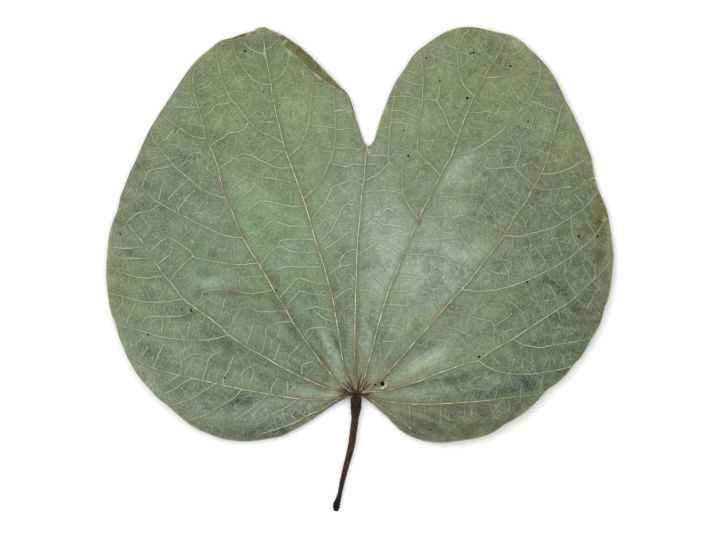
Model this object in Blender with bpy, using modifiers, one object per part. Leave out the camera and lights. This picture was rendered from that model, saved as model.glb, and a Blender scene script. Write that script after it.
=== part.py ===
"""Pressed bauhinia leaf, lying on a surface with its ribbed underside up.

Metres, +Z up. X runs across the leaf and +Y from the stalk to the notch, and z = 0 is the surface that it
lies on. The origin is the middle of the leaf's own rectangle, on that surface.
"""

import math

import bpy
import numpy as np
from mathutils import Vector
from mathutils.geometry import delaunay_2d_cdt

MM = 0.001

# Driving sizes
BLADE_WIDTH = 126.5 * MM
STEPS_ACROSS = 506  # the routes below count in steps of a quarter of a millimetre
STEP = BLADE_WIDTH / STEPS_ACROSS
BLADE_THICKNESS = 0.6 * MM
PRIMARY_RIB = {"half_width": (0.85 * MM, 0.40 * MM), "height": (0.75 * MM, 0.30 * MM)}  # at root, at tip
SECONDARY_RIB = {"half_width": (0.50 * MM, 0.35 * MM), "height": (0.40 * MM, 0.20 * MM)}
LADDER_VEIN = {"half_width": (0.34 * MM, 0.30 * MM), "height": (0.20 * MM, 0.14 * MM)}
BASE_BOSS_HEIGHT = 1.0 * MM  # the ribs run together into a low boss at the stalk
BASE_BOSS_RADIUS = 3.2 * MM
TURNED_MARGIN_HEIGHT = 0.45 * MM  # where the margin is turned over and pressed flat
TURNED_MARGIN_EDGE = 0.45 * MM
TURNED_MARGIN_TAPER = 0.2  # share of the turn's length at each end, where it runs out
SEAT_GAP = 0.3 * MM  # between the stalk's end and the blade's base
STALK_LIFT = 0.15 * MM  # the stalk's upper end, off the surface

# How the dried blade lies: flat under its middle, and rising in waves towards the margin
FLAT_CENTRE = (0.5 * MM, 37.0 * MM)
FLAT_RADIUS = 13.0 * MM
RISE_RADIUS = 62.0 * MM
MARGIN_RISE = 1.3 * MM
LOBE_WAVE = {"height": 1.5 * MM, "turns": 3, "phase": 0.9}
RIPPLE = {"height": 0.7 * MM, "turns": 8, "phase": 0.4}
PLEAT_HEIGHT = 0.5 * MM  # the blade hangs this much lower between the ribs near the stalk
PLEAT_LENGTH = 22.0 * MM
PLEAT_START = 4.0 * MM
PLEAT_HALF_ANGLE = math.radians(13)

# How finely the blade is divided
OUTLINE_SPACING = 1.9 * MM
RIB_SPACING = 3.2 * MM
FILL_SPACING = 5.2 * MM
CLEAR_OF_LINES = 2.3 * MM
CLEAR_OF_MARGIN = 0.6 * MM
STALK_SPACING = 1.6 * MM

# Routes are (x, y) in steps from the stalk's joint, the leaf seen with its notch up.
BASE_CORNER = 7
NOTCH = (11, 251)
LEFT_MARGIN = [
    (-BASE_CORNER, 0), (-18, -4), (-36, -17), (-56, -30), (-74, -39), (-94, -43), (-111, -44),
    (-131, -42), (-151, -35), (-168, -25), (-190, -7), (-211, 14), (-228, 39), (-239, 67), (-247, 97),
    (-249, 125), (-246, 157), (-237, 193), (-225, 227), (-206, 267), (-184, 303), (-160, 336), (-139, 354),
    (-121, 359), (-103, 364), (-98, 368), (-91, 369), (-85, 366), (-71, 360), (-56, 350), (-36, 331),
    (-16, 310), (-8, 302), (-4, 291), (2, 272), (7, 257), NOTCH,
]
RIGHT_MARGIN = [
    NOTCH, (16, 254), (20, 263), (24, 277), (32, 298), (44, 321), (57, 340), (74, 356), (94, 366),
    (112, 369), (134, 366), (152, 362), (168, 353), (186, 336), (200, 316), (214, 289), (226, 262),
    (234, 239), (238, 222), (244, 205), (251, 186), (255, 165), (257, 142), (255, 117), (250, 97),
    (245, 82), (239, 65), (230, 49), (218, 34), (205, 19), (192, 10), (178, -6), (162, -19), (148, -27),
    (138, -34), (122, -40), (94, -45), (69, -44), (50, -37), (34, -23), (18, -7), (BASE_CORNER, 0),
]
PRIMARY_RIBS = {
    "midrib": [(-1, 7), (-1, 47), (-1, 97), (1, 147), (3, 177), (6, 207), (8, 229), (10, 246)],
    "left_1": [
        (-6, 10), (-13, 39), (-18, 67), (-23, 92), (-29, 121), (-38, 148), (-46, 175), (-56, 207), (-67, 240),
        (-76, 267), (-82, 291), (-86, 314), (-90, 339), (-92, 363),
    ],
    "left_2": [
        (-10, 8), (-26, 24), (-46, 50), (-65, 79), (-78, 100), (-96, 131), (-112, 157), (-124, 183),
        (-131, 200), (-137, 224), (-146, 250), (-154, 273), (-160, 297), (-163, 319), (-161, 330),
    ],
    "left_3": [
        (-12, 6), (-36, 12), (-66, 27), (-98, 44), (-128, 62), (-148, 80), (-172, 98), (-187, 116),
        (-199, 133), (-210, 151), (-221, 165), (-230, 176), (-234, 183),
    ],
    "left_4": [
        (-12, 3), (-38, -2), (-66, 0), (-94, 4), (-116, 8), (-141, 13), (-166, 20), (-191, 26), (-208, 32),
        (-223, 39),
    ],
    "left_5": [(-11, 2), (-26, -6), (-44, -16), (-60, -24), (-73, -30), (-88, -34), (-101, -39)],
    "right_1": [
        (6, 10), (13, 35), (19, 59), (27, 87), (36, 115), (46, 140), (57, 166), (68, 190), (78, 210),
        (90, 232), (99, 252), (105, 271), (114, 292), (122, 308), (132, 327), (142, 343), (149, 357),
    ],
    "right_2": [
        (10, 8), (27, 21), (49, 45), (68, 66), (95, 96), (110, 113), (129, 140), (148, 162), (156, 177),
        (171, 198), (178, 211), (186, 225), (192, 245), (198, 263), (203, 285), (204, 297), (201, 306),
    ],
    "right_3": [
        (12, 6), (34, 9), (56, 15), (80, 24), (104, 32), (123, 38), (144, 51), (166, 64), (189, 80),
        (211, 93), (229, 110), (246, 126), (252, 136),
    ],
    "right_4": [(12, 3), (26, -3), (49, -5), (74, -7), (99, -6), (124, -3), (149, 0), (171, 1), (183, 4)],
    "right_5": [(11, 2), (20, -6), (32, -17), (44, -26), (57, -33), (71, -38)],
}
SECONDARY_RIBS = {
    "left_1a": [(-86, 313), (-94, 313), (-101, 316), (-115, 333), (-122, 349)],
    "left_1b": [(-86, 315), (-78, 319), (-72, 327), (-66, 346)],
    "left_1c": [(-72, 254), (-85, 259), (-97, 267), (-118, 289), (-134, 317), (-138, 329), (-138, 346)],
    "left_1d": [(-67, 240), (-60, 247), (-52, 260), (-46, 285), (-45, 309), (-43, 320)],
    "left_1e": [(-54, 200), (-43, 208), (-35, 217), (-25, 239), (-21, 262), (-22, 292), (-23, 305)],
    "left_2a": [
        (-113, 158), (-124, 160), (-148, 168), (-176, 183), (-199, 196), (-215, 209), (-222, 220),
    ],
    "left_2b": [(-131, 198), (-151, 206), (-166, 218), (-182, 233), (-197, 249), (-203, 262)],
    "left_2c": [(-150, 258), (-166, 262), (-178, 269), (-193, 282)],
    "left_2d": [(-98, 134), (-111, 132), (-126, 133), (-141, 135), (-162, 140)],
    "left_2e": [(-162, 140), (-172, 152), (-181, 157), (-189, 160), (-196, 172)],
    "left_2f": [(-162, 140), (-173, 132), (-187, 116)],
    "left_2g": [(-85, 108), (-96, 105), (-108, 103), (-126, 107), (-136, 107), (-151, 106), (-156, 98)],
    "left_2h": [(-73, 86), (-96, 86), (-106, 90), (-113, 89), (-120, 82), (-124, 73), (-127, 64)],
    "left_2i": [(-65, 76), (-80, 74), (-90, 67), (-90, 59), (-94, 44)],
    "left_3a": [(-194, 122), (-208, 119), (-228, 122), (-243, 128)],
    "left_3b": [(-173, 98), (-196, 95), (-219, 97), (-243, 102)],
    "left_3c": [(-128, 62), (-137, 59), (-148, 57), (-173, 58), (-196, 61), (-216, 66), (-233, 71)],
    "left_4a": [(-60, -1), (-71, -10), (-90, -21), (-108, -31)],
    "left_4b": [(-84, 2), (-96, -5), (-108, -14), (-120, -21)],
    "left_4c": [(-116, 8), (-123, -1), (-146, -14), (-165, -22)],
    "left_4d": [(-141, 13), (-158, 2), (-169, -4), (-181, -6)],
    "right_1a": [
        (61, 176), (51, 197), (48, 205), (48, 217), (46, 227), (33, 235), (32, 247), (35, 277), (39, 303),
    ],
    "right_1b": [(84, 222), (61, 247), (61, 257), (63, 279), (66, 297), (66, 338)],
    "right_1c": [(118, 299), (106, 312), (101, 330), (102, 347), (109, 363)],
    "right_1d": [(128, 319), (137, 319), (154, 322), (167, 332)],
    "right_1e": [(93, 239), (112, 245), (134, 257), (156, 278), (172, 298), (182, 317), (182, 334)],
    "right_2a": [(185, 223), (200, 224), (214, 229), (229, 240)],
    "right_2b": [(148, 162), (157, 161), (176, 164), (199, 170), (219, 183), (239, 201)],
    "right_2c": [(105, 107), (134, 107), (164, 114), (196, 129), (222, 147), (247, 173)],
    "right_3a": [(123, 38), (128, 31), (147, 24), (174, 23), (210, 29)],
    "right_3b": [(154, 57), (169, 52), (192, 52), (229, 59)],
}
LADDER_VEINS = {
    "left_a": [(-137, 228), (-126, 236), (-117, 242), (-106, 242), (-96, 237), (-81, 230), (-66, 229)],
    "left_b": [(-122, 193), (-111, 203), (-101, 212), (-99, 220), (-81, 218), (-65, 215)],
    "left_c": [(-113, 182), (-101, 193), (-91, 196), (-76, 193), (-66, 191), (-52, 191)],
    "left_d": [(-108, 157), (-98, 164), (-86, 175), (-76, 174), (-66, 171), (-45, 170)],
    "left_e": [(-96, 132), (-86, 144), (-77, 151), (-66, 146), (-51, 145), (-38, 145)],
    "left_f": [(-77, 151), (-76, 156), (-61, 158), (-41, 157)],
    "left_g": [(-82, 124), (-73, 130), (-56, 130), (-36, 130)],
    "left_h": [(-75, 101), (-66, 111), (-60, 118), (-53, 118), (-41, 114), (-28, 113)],
    "left_i": [(-70, 91), (-61, 101), (-56, 106), (-48, 104), (-34, 102), (-26, 102)],
    "left_j": [(-51, 88), (-38, 90), (-24, 85)],
    "left_k": [(-52, 62), (-45, 69), (-31, 69), (-20, 66)],
    "left_l": [(-54, 25), (-54, 32), (-44, 35)],
    "lobe_a": [(-151, 281), (-146, 285), (-139, 292), (-128, 293), (-124, 296)],
    "lobe_b": [(-145, 251), (-139, 256), (-132, 260), (-126, 264), (-118, 265), (-111, 268), (-109, 272)],
    "lobe_c": [(-47, 272), (-36, 271), (-21, 269)],
    "lobe_d": [(-21, 249), (-11, 249), (6, 247)],
    "lobe_e": [(-214, 210), (-209, 222), (-204, 227), (-191, 229), (-182, 233)],
    "lobe_f": [(-188, 197), (-176, 210), (-166, 219)],
    "side_a": [(-229, 175), (-217, 184), (-207, 186), (-197, 192)],
    "side_b": [(-161, 88), (-174, 81), (-186, 81), (-209, 80), (-216, 67)],
    "side_c": [(-153, 17), (-149, 31), (-145, 41), (-134, 46)],
    "side_d": [(-175, 23), (-175, 36), (-177, 47)],
    "side_e": [(-202, 30), (-197, 43), (-191, 55)],
    "side_f": [(-113, 9), (-113, 25), (-101, 32)],
    "middle_a": [(-44, 178), (-35, 189), (-29, 199), (-24, 209), (-15, 213), (-6, 217), (5, 212)],
    "middle_b": [(-35, 157), (-25, 167), (-19, 178), (-12, 191), (-4, 193), (4, 190)],
    "middle_c": [(-35, 146), (-25, 152), (-15, 159), (-8, 165), (1, 162)],
    "middle_d": [(-28, 123), (-16, 131), (-16, 136), (-10, 145), (0, 148)],
    "middle_e": [(-22, 98), (-11, 106), (-6, 109), (-1, 103)],
    "middle_f": [(6, 212), (24, 225), (33, 235)],
    "middle_g": [(6, 205), (29, 207), (47, 204)],
    "middle_h": [(3, 171), (9, 172), (20, 179), (27, 173), (42, 172), (54, 166)],
    "middle_i": [(1, 142), (5, 144), (19, 153), (25, 156), (34, 151), (45, 145)],
    "right_a": [(76, 202), (94, 200), (114, 203), (127, 201), (135, 191), (139, 184)],
    "right_b": [(64, 182), (79, 180), (99, 181), (111, 182), (126, 173), (135, 159), (140, 152)],
    "right_c": [(55, 157), (74, 157), (94, 159), (106, 159), (114, 146), (123, 132)],
    "right_d": [(46, 144), (72, 142), (89, 139), (99, 127), (104, 121), (110, 113)],
    "right_e": [(42, 122), (59, 120), (74, 119)],
    "right_f": [(31, 93), (54, 91)],
    "lobe_g": [(35, 300), (52, 300), (64, 298)],
    "lobe_h": [(36, 286), (45, 286), (62, 280)],
    "lobe_i": [(34, 275), (46, 274), (61, 269)],
    "lobe_j": [(174, 296), (188, 290), (202, 286)],
    "lobe_k": [(124, 300), (144, 296), (158, 284)],
    "lobe_l": [(111, 285), (121, 285), (136, 285), (146, 277)],
    "lobe_m": [(177, 279), (175, 268), (184, 259), (195, 254)],
    "side_g": [(199, 170), (195, 164), (201, 153), (207, 139)],
    "side_h": [(215, 180), (215, 167), (218, 157), (223, 148)],
    "side_i": [(167, 150), (174, 137), (179, 119)],
    "side_j": [(152, 109), (152, 124), (147, 134)],
    "side_k": [(92, 86), (106, 84), (122, 79), (132, 77), (138, 72), (138, 62), (138, 50)],
    "side_l": [(91, 70), (104, 66), (118, 59), (118, 52)],
    "side_m": [(74, 57), (89, 57), (97, 51)],
    "side_n": [(146, 104), (154, 95), (164, 87), (171, 71)],
    "side_o": [(189, 112), (195, 109), (202, 91)],
    "side_p": [(209, 127), (208, 120), (220, 102)],
}
TURNED_MARGINS = {  # the inner edge of each turned strip, with the margin on its left
    "left_lobe": [(-11, 304), (-26, 311), (-36, 318), (-46, 326), (-54, 334), (-64, 344), (-72, 353)][::-1],
    "right_side": [(237, 206), (236, 196), (244, 179), (252, 173)][::-1],
}
STALK = [  # x and y from its seat, and radius
    (0, 0, 5.3), (0, -10, 5.0), (0, -19, 3.8), (-2, -28, 3.4), (-4, -40, 3.0), (-7, -54, 2.9),
    (-10, -69, 2.8), (-13, -83, 2.4), (-16, -95, 2.2), (-18, -102, 2.8), (-20, -109, 3.2), (-21, -113, 2.2),
]


def catmull_rom(points, spacing):
    """Points about a spacing apart on the smooth curve through these, with both ends kept."""
    points = [Vector(p) for p in points]
    padded = [2 * points[0] - points[1], *points, 2 * points[-1] - points[-2]]
    dense = []
    for a, b, c, d in zip(padded, padded[1:], padded[2:], padded[3:]):
        for k in range(8):
            t = k / 8
            bend = (2 * a - 5 * b + 4 * c - d) * t * t + (3 * b - a - 3 * c + d) * t**3
            dense.append(b + 0.5 * ((c - a) * t + bend))
    dense.append(points[-1])
    along = np.concatenate([[0], np.cumsum([(q - p).length for p, q in zip(dense, dense[1:])])])
    stops = np.linspace(0, along[-1], max(1, round(along[-1] / spacing)) + 1)
    rows = np.array([tuple(p) for p in dense])
    return np.column_stack([np.interp(stops, along, column) for column in rows.T])


def in_metres(route):
    return [tuple(STEP * v for v in point) for point in route]


def outline():
    """The margin as one closed loop, with sharp corners at the notch and on both sides of the stalk."""
    left = catmull_rom(in_metres(LEFT_MARGIN), OUTLINE_SPACING)
    right = catmull_rom(in_metres(RIGHT_MARGIN), OUTLINE_SPACING)
    return np.vstack([left, right[1:]])


def inside(loop, points):
    """Which of the points lie inside the loop, by counting the margin's crossings to their right."""
    found = np.zeros(len(points), bool)
    for (x0, y0), (x1, y1) in zip(loop, np.roll(loop, -1, axis=0)):
        between = (points[:, 1] < y0) != (points[:, 1] < y1)
        with np.errstate(divide="ignore", invalid="ignore"):
            crossing = x0 + (points[:, 1] - y0) * (x1 - x0) / (y1 - y0)
        found ^= between & (points[:, 0] < crossing)
    return found


class Rib:
    """A ridge along a route, tapering from its root to its tip."""

    def __init__(self, route, size):
        self.line = catmull_rom(in_metres(route), RIB_SPACING)
        share = np.linspace(0, 1, len(self.line))
        self.half_width = np.interp(share, [0, 1], size["half_width"])
        self.height = np.interp(share, [0, 1], size["height"])

    def relief(self, points):
        """How high the ridge stands at each point: full on its line, and nothing half a width away."""
        best = np.zeros(len(points))
        for k in range(len(self.line) - 1):
            start, run = self.line[k], self.line[k + 1] - self.line[k]
            t = np.clip((points - start) @ run / (run @ run), 0, 1)
            away = np.linalg.norm(points - start - t[:, None] * run, axis=1)
            half = self.half_width[k] + t * (self.half_width[k + 1] - self.half_width[k])
            high = self.height[k] + t * (self.height[k + 1] - self.height[k])
            best = np.maximum(best, high * np.clip(1 - away / half, 0, 1))
        return best

    def feet(self):
        """The ridge's foot on each side, as points beside those of its line."""
        across = self.half_width[:, None] * left_of(self.line)
        return [self.line - across, self.line + across]


class TurnedMargin:
    """A strip of margin turned over and pressed flat, on the left of a line."""

    def __init__(self, route):
        self.line = catmull_rom(in_metres(route), RIB_SPACING)

    def relief(self, points):
        best = np.zeros(len(points))
        last = len(self.line) - 1
        for k, across in enumerate(left_of(self.line)[:-1]):
            start, run = self.line[k], self.line[k + 1] - self.line[k]
            t = (points - start) @ run / (run @ run)
            beside = (t >= 0) & (t <= 1)
            share = (k + t) / last
            full = np.clip(np.minimum(share, 1 - share) / TURNED_MARGIN_TAPER, 0, 1)
            rise = np.clip((points - start - t[:, None] * run) @ across / TURNED_MARGIN_EDGE, 0, 1)
            best = np.maximum(best, beside * full * rise * TURNED_MARGIN_HEIGHT)
        return best

    def feet(self):
        return [self.line + TURNED_MARGIN_EDGE * left_of(self.line)]


def left_of(line):
    """At each point of a line, the unit vector to its left."""
    along = np.gradient(line, axis=0)
    along /= np.linalg.norm(along, axis=1)[:, None]
    return np.column_stack([-along[:, 1], along[:, 0]])


def smoothstep(value):
    value = np.clip(value, 0, 1)
    return value * value * (3 - 2 * value)


def lie(points):
    """Height of the blade's lower face above the surface that it lies on."""
    across, along = points[:, 0] - FLAT_CENTRE[0], points[:, 1] - FLAT_CENTRE[1]
    rise = smoothstep((np.hypot(across, along) - FLAT_RADIUS) / (RISE_RADIUS - FLAT_RADIUS))
    turn = np.arctan2(across, along)
    height = np.full(len(points), MARGIN_RISE)
    for wave in (LOBE_WAVE, RIPPLE):
        height += wave["height"] * (0.5 + 0.5 * np.sin(wave["turns"] * turn + wave["phase"]))
    return rise * height + pleat(points)


def pleat(points):
    """The blade is drawn up along each rib near the stalk, and hangs between them."""
    out = np.hypot(points[:, 0], points[:, 1])
    heading = np.arctan2(points[:, 0], points[:, 1])
    nearest = np.full(len(points), math.pi)
    for route in PRIMARY_RIBS.values():
        x, y = route[1]
        apart = np.abs(np.angle(np.exp(1j * (heading - math.atan2(x, y)))))
        nearest = np.minimum(nearest, apart)
    swell = smoothstep(out / PLEAT_START) * (1 - smoothstep(out / PLEAT_LENGTH))
    return PLEAT_HEIGHT * swell * (1 - smoothstep(nearest / PLEAT_HALF_ANGLE))


def relief(ribs, points):
    """What stands on the blade's upper face: the ribs, and the boss where they meet the stalk."""
    out = np.hypot(points[:, 0], points[:, 1])
    boss = BASE_BOSS_HEIGHT * (1 - smoothstep(out / BASE_BOSS_RADIUS))
    return np.maximum(np.max([rib.relief(points) for rib in ribs], axis=0), boss)


def blade_plan(ribs):
    """Flat triangles over the blade, whose edges follow the margin and every rib's line and feet."""
    loop = outline()
    points, edges = [tuple(p) for p in loop], [(k, (k + 1) % len(loop)) for k in range(len(loop))]

    def add_line(line, keep):
        before = None
        for point, kept in zip(line, keep):
            if kept:
                points.append(tuple(point))
                if before is not None:
                    edges.append((before, len(points) - 1))
                before = len(points) - 1
            else:
                before = None

    for rib in ribs:
        add_line(rib.line, inside(loop, rib.line))
        others = [other for other in ribs if other is not rib]
        for foot in rib.feet():
            alone = relief(others, foot) == 0
            to_margin = np.min(np.linalg.norm(foot[:, None] - loop[None], axis=2), axis=1)
            add_line(foot, alone & inside(loop, foot) & (to_margin > CLEAR_OF_MARGIN))
    points += fill(loop, np.array(points))
    made = delaunay_2d_cdt([Vector(p) for p in points], edges, [], 1, 0.02 * MM)
    return np.array([tuple(v) for v in made[0]]), made[2]


def fill(loop, taken):
    """An even pattern of points for the open blade between the ribs."""
    low, high = loop.min(axis=0), loop.max(axis=0)
    row_gap = FILL_SPACING * math.sqrt(0.75)
    rows = []
    for k, y in enumerate(np.arange(low[1], high[1], row_gap)):
        xs = np.arange(low[0] + (k % 2) * FILL_SPACING / 2, high[0], FILL_SPACING)
        rows += [(x, y) for x in xs]
    rows = np.array(rows)
    rows = rows[inside(loop, rows)]
    clear = np.min(np.linalg.norm(rows[:, None] - taken[None], axis=2), axis=1) > CLEAR_OF_LINES
    return [tuple(p) for p in rows[clear]]


def material(name, colour, roughness):
    made = bpy.data.materials.new(name)
    made.use_nodes = True
    shader = made.node_tree.nodes["Principled BSDF"]
    shader.inputs["Base Color"].default_value = (*colour, 1)
    shader.inputs["Roughness"].default_value = roughness
    shader.inputs["Metallic"].default_value = 0
    made.diffuse_color = (*colour, 1)
    return made


def make_blade(collection):
    """The blade is a waved sheet, thickened upwards by Solidify, and thicker along each rib."""
    ribs = [Rib(route, PRIMARY_RIB) for route in PRIMARY_RIBS.values()]
    ribs += [Rib(route, SECONDARY_RIB) for route in SECONDARY_RIBS.values()]
    ribs += [Rib(route, LADDER_VEIN) for route in LADDER_VEINS.values()]
    ribs += [TurnedMargin(route) for route in TURNED_MARGINS.values()]
    plan, faces = blade_plan(ribs)
    raised = relief(ribs, plan)
    mesh = bpy.data.meshes.new("blade")
    mesh.from_pydata(np.column_stack([plan, lie(plan)]).tolist(), [], faces)
    mesh.materials.append(material("leaf_green", (0.23, 0.30, 0.19), 0.75))
    mesh.materials.append(material("vein_tan", (0.50, 0.42, 0.24), 0.7))
    for face in mesh.polygons:
        face.material_index = int(raised[list(face.vertices)].max() > 0)
    blade = bpy.data.objects.new("blade", mesh)
    collection.objects.link(blade)

    tallest = raised.max()
    group = blade.vertex_groups.new(name="relief")
    for index, height in enumerate(raised):
        group.add([index], height / tallest, "REPLACE")
    thicken = blade.modifiers.new("Thickness", "SOLIDIFY")
    thicken.thickness = BLADE_THICKNESS + tallest
    thicken.offset = 1
    thicken.vertex_group = group.name
    thicken.thickness_vertex_group = BLADE_THICKNESS / thicken.thickness
    return blade


def make_petiole(collection):
    """The stalk is a tapering round tube on a smooth line, swollen at both ends, drooping to the surface."""
    curve = bpy.data.curves.new("petiole", "CURVE")
    curve.dimensions = "3D"
    curve.bevel_depth = 1.0
    curve.bevel_resolution = 3
    curve.use_fill_caps = True
    stations = catmull_rom(in_metres(STALK), STALK_SPACING)
    spline = curve.splines.new("POLY")
    spline.points.add(len(stations) - 1)
    top_height, end_height = STALK[0][2] * STEP + STALK_LIFT, STALK[-2][2] * STEP
    for k, (point, (x, y, radius)) in enumerate(zip(spline.points, stations)):
        droop = smoothstep(k / (len(stations) - 1))
        point.co = (x, y - SEAT_GAP, top_height + droop * (end_height - top_height), 1)
        point.radius = radius
    curve.materials.append(material("stalk_brown", (0.07, 0.04, 0.03), 0.6))
    petiole = bpy.data.objects.new("petiole", curve)
    collection.objects.link(petiole)
    return petiole


def clear_scene():
    for found in list(bpy.data.objects):
        bpy.data.objects.remove(found)


def main():
    clear_scene()
    leaf = bpy.data.collections.new("bauhinia_leaf")
    bpy.context.scene.collection.children.link(leaf)
    pieces = [make_blade(leaf), make_petiole(leaf)]
    tip = np.array(in_metres(STALK))[-1, :2] - (0, SEAT_GAP)
    reach = np.vstack([outline(), tip])
    middle = (reach.min(axis=0) + reach.max(axis=0)) / 2
    for piece in pieces:
        piece.location = (-middle[0], -middle[1], 0)


main()
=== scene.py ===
"""Pressed bauhinia leaf, lying with its ribbed underside up on a white table, seen from straight above."""

import math

import bpy
import numpy as np
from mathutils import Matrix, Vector
from mathutils.geometry import delaunay_2d_cdt
from mathutils.kdtree import KDTree


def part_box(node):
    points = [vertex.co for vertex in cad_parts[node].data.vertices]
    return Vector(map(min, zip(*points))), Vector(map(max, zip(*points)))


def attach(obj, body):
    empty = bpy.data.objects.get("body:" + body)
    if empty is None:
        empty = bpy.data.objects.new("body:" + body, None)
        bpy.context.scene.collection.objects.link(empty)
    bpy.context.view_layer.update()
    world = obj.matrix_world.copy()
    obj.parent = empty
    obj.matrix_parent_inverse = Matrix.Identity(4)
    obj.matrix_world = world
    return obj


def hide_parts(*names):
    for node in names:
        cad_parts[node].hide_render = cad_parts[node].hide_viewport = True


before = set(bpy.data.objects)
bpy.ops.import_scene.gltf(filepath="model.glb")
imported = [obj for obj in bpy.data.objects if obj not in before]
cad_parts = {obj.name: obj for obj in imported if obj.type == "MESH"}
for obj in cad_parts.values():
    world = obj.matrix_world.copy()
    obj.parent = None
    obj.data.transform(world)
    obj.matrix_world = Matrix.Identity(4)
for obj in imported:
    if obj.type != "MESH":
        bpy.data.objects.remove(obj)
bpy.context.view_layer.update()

MM = 0.001
STEP = 0.25 * MM  # routes count in steps of a quarter of a millimetre, from the stalk's joint
SEED = 7

# The blade as a sheet
SHEET = 0.34 * MM
RIM_DROP = 0.10 * MM  # the margin's upper edge is rounded off by this much
RIM_WIDTH = 0.28 * MM
GROOVE = 0.14  # share of a vein's height that shows as a groove on the lower face
SHARP_ANGLE = math.radians(60)


def vein_size(half, height, spacing, wander):
    """A vein's sizes in mm: half widths and heights from root to tip, its points' spacing and wander."""
    sizes = {"half": half, "height": height, "spacing": spacing, "wander": wander}
    return {name: MM * np.array(size) for name, size in sizes.items()}


RIB = vein_size((0.32, 0.27, 0.15), (0.36, 0.18), 0.8, 0.03)
BRANCH = vein_size((0.23, 0.13), (0.17, 0.09), 0.8, 0.05)
LADDER = vein_size((0.10, 0.14, 0.10), (0.07, 0.07), 0.8, 0.06)
FIBRE = vein_size((0.19, 0.10), (0.34, 0.06), 0.6, 0.04)
SPUR = vein_size((0.15, 0.06), (0.06, 0.02), 1.3, 0.04)

SWELL_HEIGHT = 0.30 * MM  # the sheet is drawn up beside each rib
SWELL_WIDTH = 3.4 * MM
SWELL_CLEAR = 4.0 * MM  # and lies flatter where it is nearer the margin than this
BOSS_HEIGHT = 1.15 * MM  # where the ribs meet
BOSS_RADIUS = 3.4 * MM
BOSS_RELIEF = 0.3  # share of the veins' height that shows on top of the boss
TURNED_HEIGHT = 0.32 * MM
TURNED_EDGE = 0.30 * MM
TURNED_REACH = 5.0 * MM  # a turned strip covers all the blade up to this far from its inner edge

# How the blade lies, as in the solid
FLAT_CENTRE = (0.5 * MM, 37.0 * MM)
FLAT_RADIUS = 13.0 * MM
RISE_RADIUS = 62.0 * MM
MARGIN_RISE = 1.3 * MM
LOBE_WAVE = {"height": 1.5 * MM, "turns": 3, "phase": 0.9}
RIPPLE = {"height": 0.7 * MM, "turns": 8, "phase": 0.4}
PLEAT_HEIGHT = 0.5 * MM
PLEAT_LENGTH = 22.0 * MM
PLEAT_START = 4.0 * MM
PLEAT_HALF_ANGLE = math.radians(13)

# How finely the blade is divided
CURVE_PARTS = 8  # places worked out on a smooth curve from each point of its route to the next
OUTLINE_SPACING = 0.6 * MM
FILL_SPACING = 1.05 * MM
CLEAR_OF_LINES = 0.5 * MM
RIM_GAP = 0.9 * RIM_WIDTH  # from the margin to the rim's own line, at the least
LINE_GAP = 1.3 * RIM_WIDTH  # from the margin to any other line
MERGE = 0.02 * MM
KEEP_INSIDE = 1  # the triangulation gives only the triangles inside the margin

# How far from a line the materials know their distance to it
MARGIN_REACH = 8.0 * MM
FLANK_WIDTH = 2.0 * MM
AROUND_START = 12.0 * MM  # arcs round the stalk's joint are measured this much farther out than they are

# The veins and margins, as x and y in steps
BASE_CORNER = 7
NOTCH = (11, 251)
LEFT_MARGIN = [
    (-BASE_CORNER, 0), (-11, -2), (-16, -4), (-26, -10), (-36, -17), (-46, -24), (-56, -30), (-66, -35),
    (-74, -39), (-84, -41), (-96, -43), (-106, -44), (-116, -44), (-126, -43), (-136, -41), (-146, -37),
    (-156, -33), (-166, -27), (-176, -19), (-186, -10), (-196, -2), (-206, 8), (-216, 20), (-221, 27),
    (-226, 36), (-231, 47), (-235, 57), (-238, 66), (-241, 76), (-244, 83), (-246, 92), (-247.5, 102),
    (-249, 115), (-249.3, 125), (-248.5, 139), (-247, 157), (-245, 167), (-242, 177), (-238, 187),
    (-235, 200), (-232, 208), (-226, 224), (-221, 234), (-216, 246), (-211, 257), (-206, 267.5), (-196, 284),
    (-186, 299), (-176, 314), (-166, 328.5), (-156, 339.5), (-146, 347.5), (-136, 355.5), (-124, 358.5),
    (-116, 361.5), (-106, 364.5), (-102, 365.5), (-99, 368.2), (-94, 369.3), (-89, 368.7), (-86, 366.8),
    (-76, 363), (-66, 357), (-56, 350), (-46, 341), (-36, 331), (-26, 321), (-16, 310.5), (-10, 304.5),
    (-7, 300), (-4, 292), (-1, 282), (2, 272), (5, 263), (8, 255), NOTCH,
]
RIGHT_MARGIN = [
    NOTCH, (13, 251), (16, 253.5), (18.5, 259), (21, 267), (24, 277), (27, 285), (31, 296), (36, 308),
    (41, 317.5), (47, 326), (54, 337), (59, 343), (64, 347.5), (74, 355), (84, 361.5), (94, 366.2),
    (104, 368.8), (114, 369.3), (124, 368), (134, 366), (144, 363.5), (155, 361), (164, 356), (174, 347),
    (184, 337), (194, 325.5), (199, 317), (204, 307), (209, 296), (214, 287), (219, 277), (224, 266),
    (228, 257), (232, 247), (234, 242), (236, 234), (238, 222), (241, 212), (243, 205), (246, 198),
    (249, 191), (251, 184), (252.5, 175), (254.5, 164), (256, 152), (257, 141), (256.5, 132), (255.5, 122),
    (254, 110), (252, 100), (248, 89), (246, 83), (244.5, 77), (241, 69), (236, 60), (231, 51), (224, 40),
    (219, 35), (214, 28.5), (209, 22), (204, 17), (199, 13), (192, 9), (187, 4), (181, -3), (172, -12),
    (164, -18), (154, -24), (147, -27.5), (143, -31), (134, -36), (124, -39.8), (114, -42), (104, -43.5),
    (89, -45.5), (79, -45.3), (69, -44), (59, -41), (49, -36.5), (44, -33), (34, -23), (24, -14), (14, -5),
    (10, -2), (BASE_CORNER, 0),
]
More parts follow.
